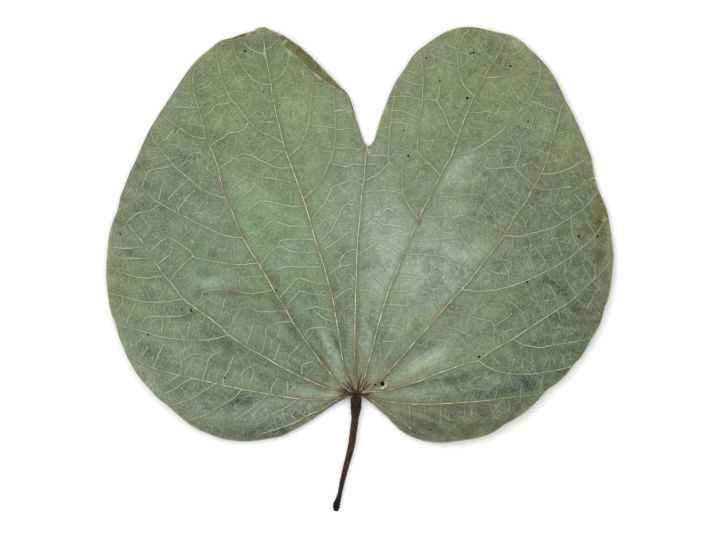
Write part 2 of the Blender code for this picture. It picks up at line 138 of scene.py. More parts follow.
RIBS = {
    "midrib": [
        (-0.5, 7), (-0.5, 17), (-1.3, 37), (-1.4, 57), (-1, 77), (-0.7, 97), (0, 117), (0.5, 137), (1.5, 157),
        (3, 172), (4.5, 190), (6, 207), (7.5, 217), (8.5, 227), (9, 234), (10, 244), NOTCH,
    ],
    "left_1": [
        (-6, 9), (-8, 14), (-11, 25), (-13.5, 37), (-16, 54), (-19, 72), (-21.5, 87), (-24.5, 103),
        (-28, 115), (-32, 130), (-37, 145), (-41, 157), (-46, 176), (-50.5, 191), (-56, 207), (-62, 223),
        (-68, 239), (-73, 254), (-77, 272), (-81, 287), (-84, 304), (-85.5, 316), (-88.5, 332), (-90, 341),
        (-92, 354), (-92, 366),
    ],
    "left_2": [
        (-10, 8), (-18, 15), (-26, 24), (-36, 36), (-46, 50), (-56, 64), (-65, 78), (-72, 91), (-80, 103),
        (-88, 117), (-96, 131), (-106, 147), (-113, 159), (-120, 175), (-124, 186), (-131, 199), (-135, 214),
        (-138, 229), (-144, 246), (-150, 258), (-153, 272), (-157, 287), (-161, 300), (-162, 307),
        (-163, 320), (-160, 331),
    ],
    "left_3": [
        (-11, 6), (-26, 9), (-36, 12), (-56, 21), (-76, 31), (-91, 40), (-106, 48), (-121, 58), (-128, 63),
        (-136, 71), (-146, 79), (-156, 86), (-166, 93), (-174, 100), (-181, 110), (-191, 121), (-199, 133),
        (-206, 143), (-213, 155), (-221, 165), (-229, 175), (-235, 185), (-237.5, 189),
    ],
    "left_4": [
        (-12, 3), (-16, 0), (-31, -2), (-46, -2.5), (-66, -0.5), (-86, 3), (-106, 6.5), (-126, 10.5),
        (-141, 14), (-156, 17.5), (-176, 22), (-196, 27), (-206, 31), (-216, 36), (-224, 40),
    ],
    "left_5": [
        (-11, 1), (-15, -1), (-26, -6), (-36, -13), (-44, -16), (-56, -22.5), (-69, -28.5), (-84, -33),
        (-96, -37),
    ],
    "right_1": [
        (6, 9), (8, 17), (12, 34), (16, 47), (19, 60), (23, 75), (27, 89), (31, 102), (35, 113), (41, 127),
        (46, 140), (53, 157), (59, 170), (64, 182), (72, 197), (80, 213), (88, 229), (95, 241), (100, 255),
        (104, 267), (110, 282), (117, 299), (124, 311), (132, 327), (140, 339), (146, 350), (151, 361),
    ],
    "right_2": [
        (10, 8), (19, 13), (27, 20), (37, 31), (49, 44), (59, 56), (74, 72), (89, 90), (104, 106), (116, 120),
        (129, 137), (144, 156), (152, 168), (160, 183), (169, 194), (175, 206), (181, 216), (186, 225),
        (190, 237), (195, 255), (199, 267), (202, 279), (204, 287), (205.5, 295), (204, 305), (202, 309),
    ],
    "right_3": [
        (12, 6), (24, 6), (34, 7.5), (44, 11), (64, 16.5), (79, 23), (94, 28), (109, 34), (122, 37),
        (134, 46), (144, 51.5), (159, 60), (174, 70), (189, 80), (204, 89.5), (214, 96), (224, 105),
        (234, 115), (244, 124), (252, 134), (256, 145),
    ],
    "right_4": [
        (11, 3), (19, -1), (34, -4.5), (54, -6.5), (74, -6.8), (94, -5.8), (114, -4.5), (134, -2.5),
        (154, 0.3), (174, 2), (187, 5.5),
    ],
    "right_5": [(10, 1), (15, -2), (26, -10), (37, -18), (48, -25), (53, -30)],
}
BRANCHES = {
    "left_1a": [(-85, 316), (-78, 318), (-72, 325), (-68, 335), (-65, 347)],
    "left_1b": [(-84, 312), (-96, 313), (-106, 320), (-116, 334), (-122, 347), (-123, 351)],
    "left_1c": [
        (-73, 254), (-86, 261), (-96, 266), (-106, 274), (-116, 287), (-126, 300), (-134, 317), (-137, 329),
        (-139, 339), (-138, 352),
    ],
    "left_1d": [
        (-68, 240), (-61, 246), (-56, 251), (-50, 265), (-47, 277), (-46, 289), (-44, 309), (-43, 320),
    ],
    "left_1e": [
        (-53, 198), (-43, 207), (-36, 215), (-29, 229), (-24, 242), (-21, 257), (-20.5, 272), (-22, 297),
        (-22.5, 305),
    ],
    "left_1f": [(-91, 347), (-86, 349), (-77, 358)],
    "left_1g": [(-90.5, 342), (-100, 344.5), (-108, 349.5), (-112, 354)],
    "left_2a": [(-150, 258), (-163, 260.5), (-176, 269), (-186, 276), (-194, 283)],
    "left_2b": [
        (-131, 199), (-146, 203.5), (-156, 209), (-166, 218), (-175, 225), (-182, 232), (-190, 241),
        (-201, 255), (-204, 260), (-205, 266),
    ],
    "left_2c": [
        (-113, 159), (-131, 161.5), (-151, 170), (-171, 180), (-186, 188), (-199, 196), (-209, 204),
        (-215, 209), (-220, 214), (-223, 225), (-221, 231),
    ],
    "left_2d": [(-98, 134), (-116, 132.5), (-136, 134.5), (-156, 138), (-163, 140.5)],
    "left_2e": [
        (-163, 140.5), (-166, 146), (-176, 153.5), (-186, 159.5), (-191, 161), (-196, 170), (-196.5, 175),
    ],
    "left_2f": [(-163, 140.5), (-173, 132), (-186, 116)],
    "left_2g": [
        (-84, 107), (-96, 104.5), (-108, 103.5), (-126, 107.5), (-136, 107.5), (-151, 106), (-156, 98),
    ],
    "left_2h": [(-71, 86), (-96, 85.5), (-106, 90), (-113, 89), (-120, 82), (-124, 73), (-127, 64)],
    "left_2i": [(-65, 76), (-80, 74), (-90, 67), (-90, 59), (-94, 44)],
    "left_3a": [(-195, 120.5), (-208, 119), (-221, 120.5), (-234, 124.5), (-244, 129)],
    "left_3b": [(-174, 98), (-191, 95), (-211, 95.5), (-226, 99), (-238, 102), (-246, 103)],
    "left_3c": [
        (-128, 62), (-146, 57.7), (-166, 57), (-186, 59), (-201, 62.5), (-216, 67), (-231, 70), (-238, 72),
    ],
    "left_4a": [(-58, -1), (-68, -9), (-78, -14), (-90, -20)],
    "left_4b": [(-88, 4), (-94, -3), (-106, -12), (-119, -21)],
    "left_4c": [(-114, 8), (-120, 1), (-131, -6), (-146, -15), (-156, -19.5), (-166, -22)],
    "left_4d": [(-140, 14), (-153, 6), (-166, -2), (-178, -6), (-185, -8)],
    "left_4e": [(-164, 19), (-173, 14), (-183, 7), (-188, 5.5)],
    "left_4f": [(-176, 22), (-182, 19), (-191, 13)],
    "right_1a": [
        (62, 178), (52, 192), (47, 204), (46, 221), (45.5, 226), (33, 235), (32.5, 249), (34, 267), (36, 287),
        (38, 302), (40, 312),
    ],
    "right_1b": [(46, 227), (53, 240), (60, 247)],
    "right_1c": [
        (84, 221), (78, 228), (66, 240), (61, 246), (61.5, 259), (62, 275), (65, 289), (66.5, 309), (66, 329),
        (64, 345),
    ],
    "right_1d": [(102, 261), (94, 268), (88, 283), (80, 296), (74, 297), (67, 297.5)],
    "right_1e": [(80, 296), (82, 301), (84, 317)],
    "right_1f": [(118, 300), (108, 311), (102, 327), (101.5, 345), (106, 359), (112, 366)],
    "right_1g": [(128, 319), (147, 320), (160, 325), (167, 331)],
    "right_1h": [
        (95, 241), (106, 243.5), (122, 249.5), (144, 265), (159, 281), (174, 300), (181, 314), (183.5, 327),
        (182, 336),
    ],
    "right_1i": [(142, 343), (156, 341.5), (166, 348), (168, 351)],
    "right_2a": [(178, 210), (166, 222), (158, 230), (162, 239), (164, 249), (162, 256)],
    "right_2b": [(158, 230), (144, 229), (132, 228.5), (124, 236)],
    "right_2c": [(185, 223), (199, 223.5), (212, 228), (226, 236), (231, 240)],
    "right_2d": [(177, 209.5), (191, 207.5), (211, 209.5)],
    "right_2e": [(147, 161.5), (162, 160.5), (179, 164.5), (199, 170.5), (214, 180), (229, 190), (241, 205)],
    "right_2f": [
        (105, 107), (124, 106), (144, 108), (166, 115), (189, 125.5), (211, 138), (224, 148.5), (236, 159),
        (245, 171), (250, 179),
    ],
    "right_3a": [(122, 37), (130, 31), (142, 26), (155, 23.5), (172, 23), (190, 25.5), (208, 29), (217, 33)],
    "right_3b": [(156, 58), (169, 52), (184, 50), (199, 52.5), (219, 56), (234, 59)],
}
LADDERS = [
    [(-137, 228), (-126, 236), (-117, 242), (-106, 242), (-96, 237), (-81, 230), (-66, 229)],
    [(-125, 208), (-116, 216), (-108, 221.5)],
    [(-122, 193), (-111, 203), (-101, 212), (-99, 220), (-81, 218), (-65, 215)],
    [(-113, 182), (-101, 193), (-91, 196), (-76, 193), (-66, 191), (-52, 191)],
    [(-108, 157), (-98, 164), (-86, 175), (-76, 174), (-66, 171), (-45, 170)],
    [(-96, 132), (-86, 144), (-77, 151), (-66, 146), (-51, 145), (-38, 145)],
    [(-77, 151), (-76, 156), (-61, 158), (-41, 157)], [(-82, 124), (-73, 130), (-56, 130), (-36, 130)],
    [(-75, 101), (-66, 111), (-60, 118), (-53, 118), (-41, 114), (-28, 113)],
    [(-70, 91), (-61, 101), (-56, 106), (-48, 104), (-34, 102), (-26, 102)],
    [(-51, 88), (-38, 90), (-24, 85)], [(-42, 86), (-31, 78.5), (-24, 76)],
    [(-52, 62), (-45, 69), (-31, 69), (-20, 66)], [(-54, 25), (-54, 32), (-44, 35)],
    [(-151, 281), (-146, 285), (-139, 292), (-128, 293), (-124, 296)],
    [(-145, 251), (-139, 256), (-132, 260), (-126, 264), (-118, 265), (-111, 268), (-109, 272)],
    [(-47, 272), (-36, 271), (-21, 269)], [(-21, 249), (-11, 249), (6, 247)],
    [(-22, 285), (-16, 286.5), (-8, 288.5), (-6, 295)], [(-20.5, 267), (-4, 268.5)],
    [(-214, 210), (-209, 222), (-204, 227), (-191, 229), (-182, 233)], [(-197, 197), (-194, 211)],
    [(-188, 197), (-176, 210), (-166, 219)], [(-177, 188), (-170, 198), (-163, 205)],
    [(-208, 237), (-198, 239.5), (-190, 241)], [(-197, 253), (-189, 259), (-182, 268)],
    [(-174, 231), (-164, 243.5), (-156, 243.5)], [(-181, 290), (-159, 289)],
    [(-156, 308), (-148, 310), (-144, 315)], [(-212, 150), (-226, 148.5), (-241, 149.5)],
    [(-208, 138.5), (-236, 139)], [(-229, 175), (-217, 184), (-207, 185.5), (-197, 192)],
    [(-206, 144), (-196, 155), (-190, 159)], [(-198, 133), (-185, 143), (-184, 149)],
    [(-161, 88), (-174, 81), (-186, 80.5), (-209, 79.5), (-216, 67)], [(-220, 93), (-227, 79), (-229, 72)],
    [(-193, 77), (-194, 63)], [(-166, 75), (-168, 60)], [(-68, 33), (-67, 41), (-59, 49)],
    [(-81, 39), (-76, 53)], [(-110, 51), (-104, 68), (-102, 77)], [(-135, 83), (-131, 97)],
    [(-132, 13), (-132, 20), (-126, 32), (-122, 41)], [(-153, 17), (-149, 31), (-145, 41), (-134, 46)],
    [(-175, 23), (-174.5, 36), (-177, 47)], [(-174.5, 36), (-164, 43), (-156, 43)],
    [(-202, 30), (-197, 43), (-191, 55)], [(-216, 37), (-209, 48)], [(-113, 9), (-113.5, 25), (-101, 32)],
    [(-107, 8), (-102, 26)], [(-84, 3), (-84, 11), (-78, 19)], [(-68, 1), (-69, 14)],
    [(-23, 233), (-9, 230), (-4, 233), (8, 232)], [(-8, 226), (-8, 218)],
    [(-44, 178), (-35, 189), (-29, 199), (-24, 209), (-15, 213), (-6, 217), (6, 212)],
    [(-35, 157), (-25, 167), (-19, 178), (-12, 191), (-4, 193), (4, 191)],
    [(-35, 146), (-25, 152), (-15, 159), (-8, 165), (1, 162)],
    [(-28, 122.5), (-16, 131), (-16, 136), (-10, 145), (1, 148)], [(-16, 130.5), (-3, 133)],
    [(-6, 124), (-1, 117)], [(-22, 98), (-11, 106), (-6, 109), (-1, 103)], [(-12, 88), (-2, 95)],
    [(10, 233), (19, 233)], [(12, 242), (31, 241)], [(7, 215), (24, 225), (33, 235)],
    [(6, 205), (29, 206.5), (47, 203.5)], [(24, 182), (32, 188.5), (41, 182)],
    [(3, 171), (9, 172), (20, 178.5), (27, 172.5), (42, 171.5), (54, 166)],
    [(1, 142), (5, 144), (19, 153), (25, 155.5), (34, 151), (45, 145)], [(15, 133), (20, 132.5), (27, 127)],
    [(17, 122), (30, 108)], [(16, 104), (28, 98)], [(28, 71.5), (41, 71), (45, 69)], [(26, 56), (41, 55.5)],
    [(35, 300), (52, 300), (64, 297.5)], [(36, 286), (45, 286), (62, 279.5)],
    [(34, 274.5), (46, 274), (61, 269)], [(47, 317), (60, 312.5), (66, 312)], [(51, 326), (62, 322.5)],
    [(102, 344), (116, 342), (123, 338)], [(84, 336), (101, 332)], [(91, 351), (101, 347.5)],
    [(152, 319), (157, 306), (164, 297)], [(127, 345), (137, 338.5)], [(149, 355), (139, 361), (132, 360.5)],
    [(168, 321), (181, 316.5)], [(174, 296), (188, 290), (202, 286)], [(120, 300), (144, 296), (158, 284)],
    [(111, 284.5), (121, 284.5), (136, 284.5), (146, 277)], [(117, 275), (134, 272)],
    [(76, 202), (94, 200), (114, 202.5), (127, 200.5), (135, 191), (139, 184)], [(131, 205), (141, 210.5)],
    [(129, 208), (131, 220)],
    [(64, 181.5), (79, 180), (99, 180.5), (111, 182), (114, 178), (126, 173), (135, 159), (140, 152)],
    [(55, 157), (74, 157), (94, 159), (106, 159), (114, 146), (123, 132)],
    [(46, 143.5), (72, 142), (89, 139), (99, 127), (104, 121), (109, 114)], [(42, 122), (59, 120), (74, 119)],
    [(36, 106), (52, 106)], [(31, 92.5), (54, 91)], [(74, 102), (80, 94), (84, 87)],
    [(148, 205), (156, 195), (164, 188)], [(146, 251), (163, 248.5)],
    [(177, 279), (175, 268), (184, 259), (195, 254)], [(172, 250), (185, 245), (193, 243)],
    [(174, 235), (183, 228)], [(195, 248), (210, 249)], [(199, 263), (216, 266)],
    [(199, 170), (195, 164), (201, 153), (207, 139)], [(215, 180), (215, 167), (218, 157), (223, 148)],
    [(232, 172), (239, 162)], [(219, 202), (227, 192)], [(196, 189), (207, 178)],
    [(167, 150), (174, 137), (179, 119)], [(178, 151), (187, 138), (192, 129)],
    [(160, 139), (165, 127), (167, 118)], [(152, 109), (152, 124), (147, 134)],
    [(152, 124), (155, 135), (139, 138)], [(129, 129), (141, 124), (151, 123.5)],
    [(92, 86), (106, 83.5), (122, 78.5), (132, 76.5), (138, 72), (137.5, 62), (138, 50)],
    [(132, 77), (138, 85), (129, 91), (127, 95)], [(138, 72), (149, 78), (154, 82)],
    [(91, 70), (104, 66), (118, 59), (118, 52)], [(74, 57), (89, 56.5), (97, 51)],
    [(146, 104), (154, 95), (164, 87), (171, 71)], [(174, 100), (183, 91), (187, 81)],
    [(189, 112), (195, 109), (202, 91)], [(209, 127), (208, 120), (220, 102)],
    [(225, 137), (228, 129), (235, 117)], [(157, 37), (154, 25)], [(166, 37), (166, 27)],
    [(176, 42), (176, 29)], [(192, 43), (187, 30)],
]
TURNED_MARGINS = {  # the inner edge of each turned strip, with the margin on its left
    "left_lobe": [
        (-84, 368), (-80, 363), (-76, 357), (-73, 352.5), (-69, 347), (-64, 343.5), (-59, 339), (-53, 333),
        (-46, 327), (-38, 321), (-30, 314.5), (-22, 309.5), (-14, 305.5), (-7, 301.5),
    ],
    "right_side": [
        (244, 207), (237, 200), (233.5, 194.5), (236.5, 187), (241, 180), (245.5, 176.5), (254, 178.5),
    ],
    "lobe_top": [(-137, 357), (-124, 356.4), (-112, 359.4), (-103, 362.5), (-100, 368)],
}
STALK = [  # x and y from its seat, and radius
    (0, 4, 4.6), (0, 0, 5.3), (0, -10, 5.2), (-0.5, -15, 4.6), (-0.8, -20, 3.7), (-2, -30, 3.5),
    (-5, -50, 3.3), (-10, -69, 2.8), (-13.5, -83, 2.5), (-16, -95, 2.2), (-17.5, -101, 2.5),
    (-19.5, -107, 3.3), (-20, -111, 3.1), (-20.7, -113.5, 2.0),
]

# The fan of fibres at the base: where fibres start and end from its centre, in steps
FIBRE_ROOTS = (3.0, 7.0)
FIBRE_TIPS = (9.0, 21.0)
FIBRE_CENTRE = 2.0  # up from the stalk's joint
FIBRE_COUNT = 60
FIBRE_SPREAD = 104  # degrees to each side of the midrib
FIBRE_STRAY = 1.5  # degrees, and so is the bend
FIBRE_BEND = 4.0
FIBRE_TANS = (0.0, 0.0, 1.0)  # one in three is tan

# The finest side veins grow from the others until they meet one
SPUR_GAPS = {
    "rib": (1.6 * MM, 4.2 * MM), "branch": (2.0 * MM, 5.2 * MM),
    "ladder": (3.0 * MM, 7.4 * MM), "spur": (2.4 * MM, 6.6 * MM),
}
SPUR_REACH = (1.8 * MM, 7.0 * MM)
SPUR_STRIDE = 0.4 * MM
SPUR_LEAN = (8, 14)  # degrees towards the parent's tip: mean and swing
SPUR_BEND = 3  # degrees a stride
SPUR_KINK = (0.13, 24)  # how often a stride turns sharply, and how far
SPUR_LEAVING = 2  # strides in which it may still touch its parent
SPUR_SHORTEST = 3  # strides
SPUR_CELL = 0.45 * MM
SPUR_MARK = 0.4  # the marks that show where veins run are this share of a cell apart
SPUR_CLEAR = 3.0 * MM  # of the stalk's joint
SPUR_SEEN = (0.2, 1.0)

# Soft oval patches on the underside: middle, reach along and across in steps, strength in hundredths, and for
# those that are turned, by how many degrees
# Paler patches: pale bloom, and painted highlights along the pleats between the ribs near the stalk
LIGHTER_TONE_AND_PAINTED_LIGHT = [
    (-66, 69, 12, 10, 7), (-129, 53, 16, 9, 7, -20), (-212, 135, 16, 12, 5), (-115, 64, 12, 8, 4),
    (29, 172, 26, 44, 30), (36, 152, 14, 14, 14), (74, 135, 40, 28, 26, 20), (114, 147, 22, 14, 16),
    (98, 229, 26, 9, 28, 50), (66, 36, 38, 8, 38, 33), (-22, 39, 28, 5, 28, -68), (12, 57, 35, 5, 22, 90),
    (30, 85, 20, 10, 14, 70), (-56, 157, 36, 50, 7), (-131, -15, 44, 6, 16, 10), (-76, -2, 36, 5, 14, 10),
    (-146, 115, 16, 6, 18), (-210, 60, 30, 12, 10, -24), (-36, 290, 34, 44, 8), (64, 270, 40, 30, 7),
    (-160, 260, 24, 24, 6), (150, 122, 30, 10, 8, 10), (-180, 22, 50, 6, 12, -14), (84, 20, 40, 4, 14, 8),
    (-108, 204, 24, 30, 10), (-58, 290, 22, 26, 8), (94, 186, 22, 18, 12), (-98, 176, 30, 20, 6),
    (19, 107, 10, 10, 18), (69, 172, 17, 11, 15, 60), (106, 215, 20, 8, 12, 10), (74, 82, 13, 10, 15, 40),
    (49, 62, 14, 9, 12, 50), (49, 107, 15, 5, 10, 60), (1, 212, 12, 8, 12, 90), (-21, 197, 20, 20, 6),
    (-1, 157, 12, 8, 7, 90), (-76, 122, 10, 6, 12, 70), (-108, 170, 20, 8, 8, -70), (-61, 330, 8, 6, 11),
    (-148, 307, 13, 6, 10, -60), (-106, 237, 20, 6, 8, 10), (-111, -28, 24, 4, 12, 12), (84, 312, 12, 10, 8),
    (129, 312, 14, 8, 7, 70), (39, 282, 22, 12, 6, 80), (79, 35, 16, 6, 8, 25), (119, -21, 20, 5, 12),
    (159, 359, 14, 8, 14), (57, 344, 10, 12, 13), (-153, 224, 9, 9, 8), (-114, 153, 18, 8, 9, 15),
    (-8, 77, 6, 18, 10), (-40, 55, 10, 9, 8), (-21, 16, 12, 18, 19), (49, 84, 16, 10, 11, 40),
    (59, -18, 16, 8, 10, -10), (116, -21, 16, 6, 10), (182, 179, 10, 9, 8), (252, 150, 5, 40, 18),
    (192, 37, 12, 10, 7), (-247, 130, 5, 42, 13), (-200, 8, 16, 8, 16, -40), (-73, 127, 10, 12, 6),
    (-94, 366, 8, 4, 10), (-31, 197, 24, 46, 6), (-11, 122, 7, 10, 13), (-121, 272, 14, 22, 5, -40),
    (-11, 237, 14, 12, 7), (34, 247, 14, 36, 5), (-86, 142, 10, 8, 7), (-166, 172, 8, 10, 5),
    (-101, 182, 6, 12, 5), (-6, 67, 5, 20, 7), (-120, 61, 20, 7, 10, -26), (14, 87, 6, 9, 6),
    (54, 67, 22, 10, 6, 45), (-21, 4, 12, 6, 26, 25), (20, 4, 9, 6, 24), (-226, 112, 20, 6, 8, -20),
    (-191, 187, 8, 8, 5), (189, 152, 8, 7, 11), (124, 232, 7, 16, 4), (129, 72, 9, 6, 9, 20),
    (210, 66, 18, 5, 11, 10), (229, 237, 5, 10, 5), (251, 183, 5, 22, 10, 10), (159, 352, 14, 6, 11, -20),
    (61, 338, 8, 14, 10, -30), (-238, 67, 5, 24, 13, 20), (-171, 318, 5, 30, 6, -30),
    (-216, 32, 6, 18, 8, 40), (-66, 148, 8, 8, 5), (-141, 277, 12, 14, 6, -40), (-66, 322, 7, 9, 6),
    (-36, 267, 13, 9, 6), (0, 242, 18, 9, 6, -20), (27, 287, 7, 18, 5), (49, 307, 5, 15, 5),
    (89, 307, 9, 7, 6), (114, 287, 7, 12, 5), (167, 345, 20, 5, 8, -45), (214, 290, 24, 4, 6, -65),
    (-201, 222, 9, 9, 6), (-116, 147, 13, 8, 6), (-58, 85, 16, 8, 8, -60), (-36, 57, 11, 6, 7, -60),
    (-71, 38, 15, 4, 7, -35), (-146, 97, 9, 5, 6, -30), (-232, 52, 16, 5, 7, -60), (-26, 2, 12, 6, 12, 25),
    (0, 170, 7, 20, 5), (119, 217, 7, 10, 6), (39, 47, 12, 6, 7, 45), (74, 87, 17, 4, 5, 40),
    (149, 87, 12, 7, 6, 30), (159, 182, 10, 6, 6), (134, 142, 12, 7, 5), (79, 32, 8, 6, 6),
]
# Darker patches: darker tone, and painted shade in the folds and in the valleys beside the ribs
DARKER_TONE_AND_PAINTED_SHADE = [
    (214, 67, 60, 46, 20, 20), (114, -23, 80, 16, 21), (204, 20, 50, 22, 13, 25), (246, 157, 14, 60, 20),
    (-40, 55, 40, 7, 18, -62), (-87, 121, 16, 6, 16, -60), (-124, 105, 26, 4, 22), (-126, 53, 26, 8, 20, -28),
    (-9, 97, 40, 5, 13, 90), (180, 190, 50, 32, 10), (119, 25, 54, 5, 20, 8), (-56, 22, 44, 6, 12, -22),
    (-108, 350, 20, 8, 12), (42, 50, 30, 6, 10, 52), (-200, 190, 26, 30, 8), (-196, 96, 46, 8, 12, -30),
    (140, 346, 40, 18, 6), (60, 96, 30, 6, 8, 62), (-70, 84, 46, 7, 10, -56), (-104, 24, 44, 5, 10, -18),
    (-106, -4, 36, 7, 8, 14), (194, 147, 30, 24, 12), (150, 92, 24, 14, 8, 10), (-120, -26, 40, 8, 12),
    (248, 190, 8, 30, 10), (189, 117, 16, 13, 18), (156, 12, 25, 11, 19, 20), (119, 9, 12, 9, 13),
    (-121, -3, 18, 9, 16), (-60, 62, 46, 5, 13, -54), (-211, 50, 32, 9, 12, -45), (-171, 12, 24, 10, 9, -30),
    (-216, 137, 22, 8, 12, -50), (-166, 243, 26, 10, 9, 85), (72, 143, 14, 5, 12, -10),
    (83, 122, 14, 6, 13, 90), (30, 180, 20, 9, 16, 90), (124, 180, 18, 6, 11), (204, 212, 40, 13, 8),
    (149, 140, 34, 10, 9, 42), (229, 157, 26, 12, 8, 80), (159, 47, 24, 7, 11, 12), (119, 66, 30, 6, 8, 25),
    (47, 37, 14, 4, 12, 38), (-151, 57, 14, 8, 8), (-104, 30, 26, 5, 9, -22), (-166, 82, 30, 9, 7, -22),
    (219, 237, 20, 11, 8, 90), (54, -38, 22, 6, 12, -8), (26, 168, 12, 14, 8), (84, 138, 22, 12, 17, -20),
    (149, 119, 22, 12, 9), (222, 135, 9, 16, 8), (81, 14, 20, 8, 12), (134, 0, 36, 10, 13),
    (62, 43, 24, 7, 17, 32), (129, 59, 26, 6, 8, 20), (-56, 42, 20, 7, 9, -45), (-112, -3, 28, 10, 13),
    (-90, -36, 50, 8, 12, -8), (-166, 22, 24, 10, 8, -20), (-206, 52, 18, 12, 8, -45), (134, 337, 18, 12, 6),
    (84, 252, 26, 14, 6), (-176, 236, 12, 20, 7, -30), (16, 72, 7, 14, 8, -20), (37, 97, 8, 14, 6, -20),
    (-93, 332, 6, 10, 8), (-176, 269, 16, 10, 6, -40), (-126, 257, 14, 5, 7), (-88, 267, 8, 8, 5),
    (-176, 222, 12, 6, 6, -45), (-211, 207, 8, 8, 7), (-121, 192, 9, 9, 6), (-91, 335, 5, 10, 9),
    (-141, 322, 9, 8, 5), (-56, 302, 12, 6, 5), (-216, 142, 10, 8, 6, -45), (-196, 132, 8, 8, 6),
    (-151, 122, 8, 6, 12), (-211, 72, 18, 12, 6), (-171, 87, 24, 8, 5), (-106, 102, 16, 5, 5),
    (-21, 82, 5, 24, 11), (-46, 47, 12, 5, 5, -45), (-126, 27, 16, 7, 6), (-91, 42, 15, 5, 5, -20),
    (-166, 12, 14, 7, 8), (-121, -13, 24, 7, 11), (-66, -3, 20, 7, 8), (-61, -24, 26, 8, 26, 27),
    (-134, -37, 26, 6, 17), (64, 12, 24, 8, 9), (114, 17, 22, 6, 10), (74, -3, 16, 6, 7), (134, -8, 22, 9, 8),
    (169, 22, 16, 8, 8), (29, 190, 11, 12, 8), (29, 162, 13, 12, 7), (59, 142, 10, 7, 10),
    (99, 162, 13, 12, 9), (74, 117, 10, 15, 8, -30), (134, 182, 10, 8, 6), (119, 87, 18, 7, 8, 40),
    (84, 52, 11, 7, 9, 30), (29, 77, 5, 18, 16, -20), (19, 57, 5, 15, 6, -10), (144, 327, 12, 8, 7),
    (69, 317, 7, 12, 5), (164, 257, 10, 9, 6), (149, 232, 12, 9, 6), (79, 232, 11, 15, 5, -30),
    (201, 277, 7, 11, 12), (179, 212, 13, 11, 6), (224, 197, 12, 7, 8, 30), (214, 182, 15, 6, 8, 30),
    (199, 107, 9, 13, 8, 45), (224, 87, 13, 8, 6), (169, 112, 11, 15, 6), (169, 57, 14, 8, 5),
    (234, 157, 8, 9, 6), (89, -43, 26, 5, 13), (104, 367, 26, 6, 5), (-29, 311, 14, 4, 12, -38),
    (-155, 262, 34, 11, 11, -10), (-66, 300, 13, 6, 5), (-188, 125, 13, 8, 8, -50), (-146, 52, 12, 7, 6),
    (-186, 22, 17, 9, 5), (-121, 2, 10, 6, 7), (-131, -13, 23, 6, 7), (-66, 0, 17, 6, 8),
    (-86, -33, 19, 6, 7, 10), (-22, 50, 9, 12, 10), (-80, 87, 13, 7, 5, -50), (14, 47, 5, 13, 5),
    (74, 110, 12, 7, 6), (114, 157, 10, 9, 7), (54, 187, 8, 8, 6), (79, 52, 13, 6, 8, 15),
    (134, 32, 13, 9, 8, 20), (59, -6, 13, 7, 8), (164, 2, 13, 9, 8, 30), (189, 72, 8, 8, 7),
    (144, 107, 11, 8, 6), (149, 327, 13, 8, 6), (184, 207, 13, 7, 6), (-51, 336, 22, 8, 10, -42),
    (231, 190, 6, 8, 16, 10), (219, 242, 7, 9, 6), (99, 247, 17, 8, 5, 20), (-106, -41, 40, 6, 10),
    (-16, 141, 7, 8, 14), (-26, 97, 20, 5, 7, 80), (74, 262, 14, 9, 5),
]
YELLOWER = [
    (-101, 322, 80, 56, 13), (134, 322, 86, 56, 13), (214, 247, 44, 60, 10), (242, 172, 12, 40, 20),
    (234, 97, 26, 60, 6), (109, -31, 14, 9, 22), (0, 22, 26, 20, 14), (150, 96, 40, 14, 6, 8),
    (-20, 60, 20, 8, 4, 70), (234, 62, 20, 12, 7, 40), (62, 342, 12, 8, 8, 40), (219, 162, 19, 6, 8, 40),
    (84, 132, 9, 8, 6), (14, 75, 4, 13, 8, 20), (119, 362, 30, 7, 6), (-156, 207, 56, 38, 3),
    (-56, 200, 7, 18, 5, 20), (209, 57, 24, 9, 5, 20), (124, 2, 13, 8, 6), (174, 217, 13, 28, 4),
    (224, 257, 9, 28, 5, -20), (246, 182, 6, 16, 5), (-94, 366, 8, 4, 6),
]
BLUER = [
    (34, 162, 30, 36, 20), (84, 127, 42, 32, 24), (16, 62, 9, 40, 18), (-151, 112, 22, 10, 14),
    (114, 12, 62, 8, 14, 4), (-86, -8, 72, 22, 7, 10), (154, 220, 34, 44, 6), (24, 227, 16, 34, 10),
    (-180, 190, 60, 50, 4), (22, 119, 14, 13, 16), (39, 162, 11, 8, 12), (89, 172, 30, 20, 10, 80),
    (24, 182, 14, 12, 10), (112, 240, 30, 9, 12, 50), (62, 105, 20, 11, 10, 40), (-16, 42, 26, 6, 12, -68),
    (4, 52, 30, 5, 12, 90), (79, 45, 26, 7, 12, 33), (59, 5, 22, 5, 10), (-46, -3, 14, 9, 12),
    (-86, -18, 60, 15, 8, 10), (-181, 52, 18, 8, 7, -20), (-236, 72, 18, 9, 8, -70),
    (-11, 152, 20, 13, 7, 90), (224, 102, 15, 14, 8), (-140, 20, 90, 50, 4, -20), (39, 67, 18, 20, 13),
    (24, 117, 15, 28, 10), (-6, 80, 7, 40, 8), (-21, 40, 11, 13, 12, -60), (4, 27, 13, 9, 8),
    (64, 92, 13, 9, 10), (99, 222, 17, 13, 9), (114, 157, 15, 13, 8, 30), (84, 47, 25, 9, 9, 25),
    (-6, 213, 8, 26, 8), (-21, 170, 15, 25, 6), (-66, 137, 20, 15, 5), (-56, 177, 8, 8, 5),
    (-81, 72, 12, 12, 5, -50), (-111, 102, 10, 6, 6), (-141, 112, 10, 8, 5), (99, -40, 20, 6, 12),
    (69, -20, 13, 6, 8, -20), (-201, 7, 14, 7, 7, -45), (129, 22, 10, 6, 5), (249, 117, 6, 13, 7),
    (-22, 38, 26, 6, 16, -68), (-14, 190, 13, 24, 7), (-50, -2, 14, 6, 8), (52, 34, 24, 8, 8, 30),
    (100, 70, 20, 8, 6, 40), (-126, 68, 14, 8, 5, -30), (-150, -8, 30, 7, 6, 20),
]
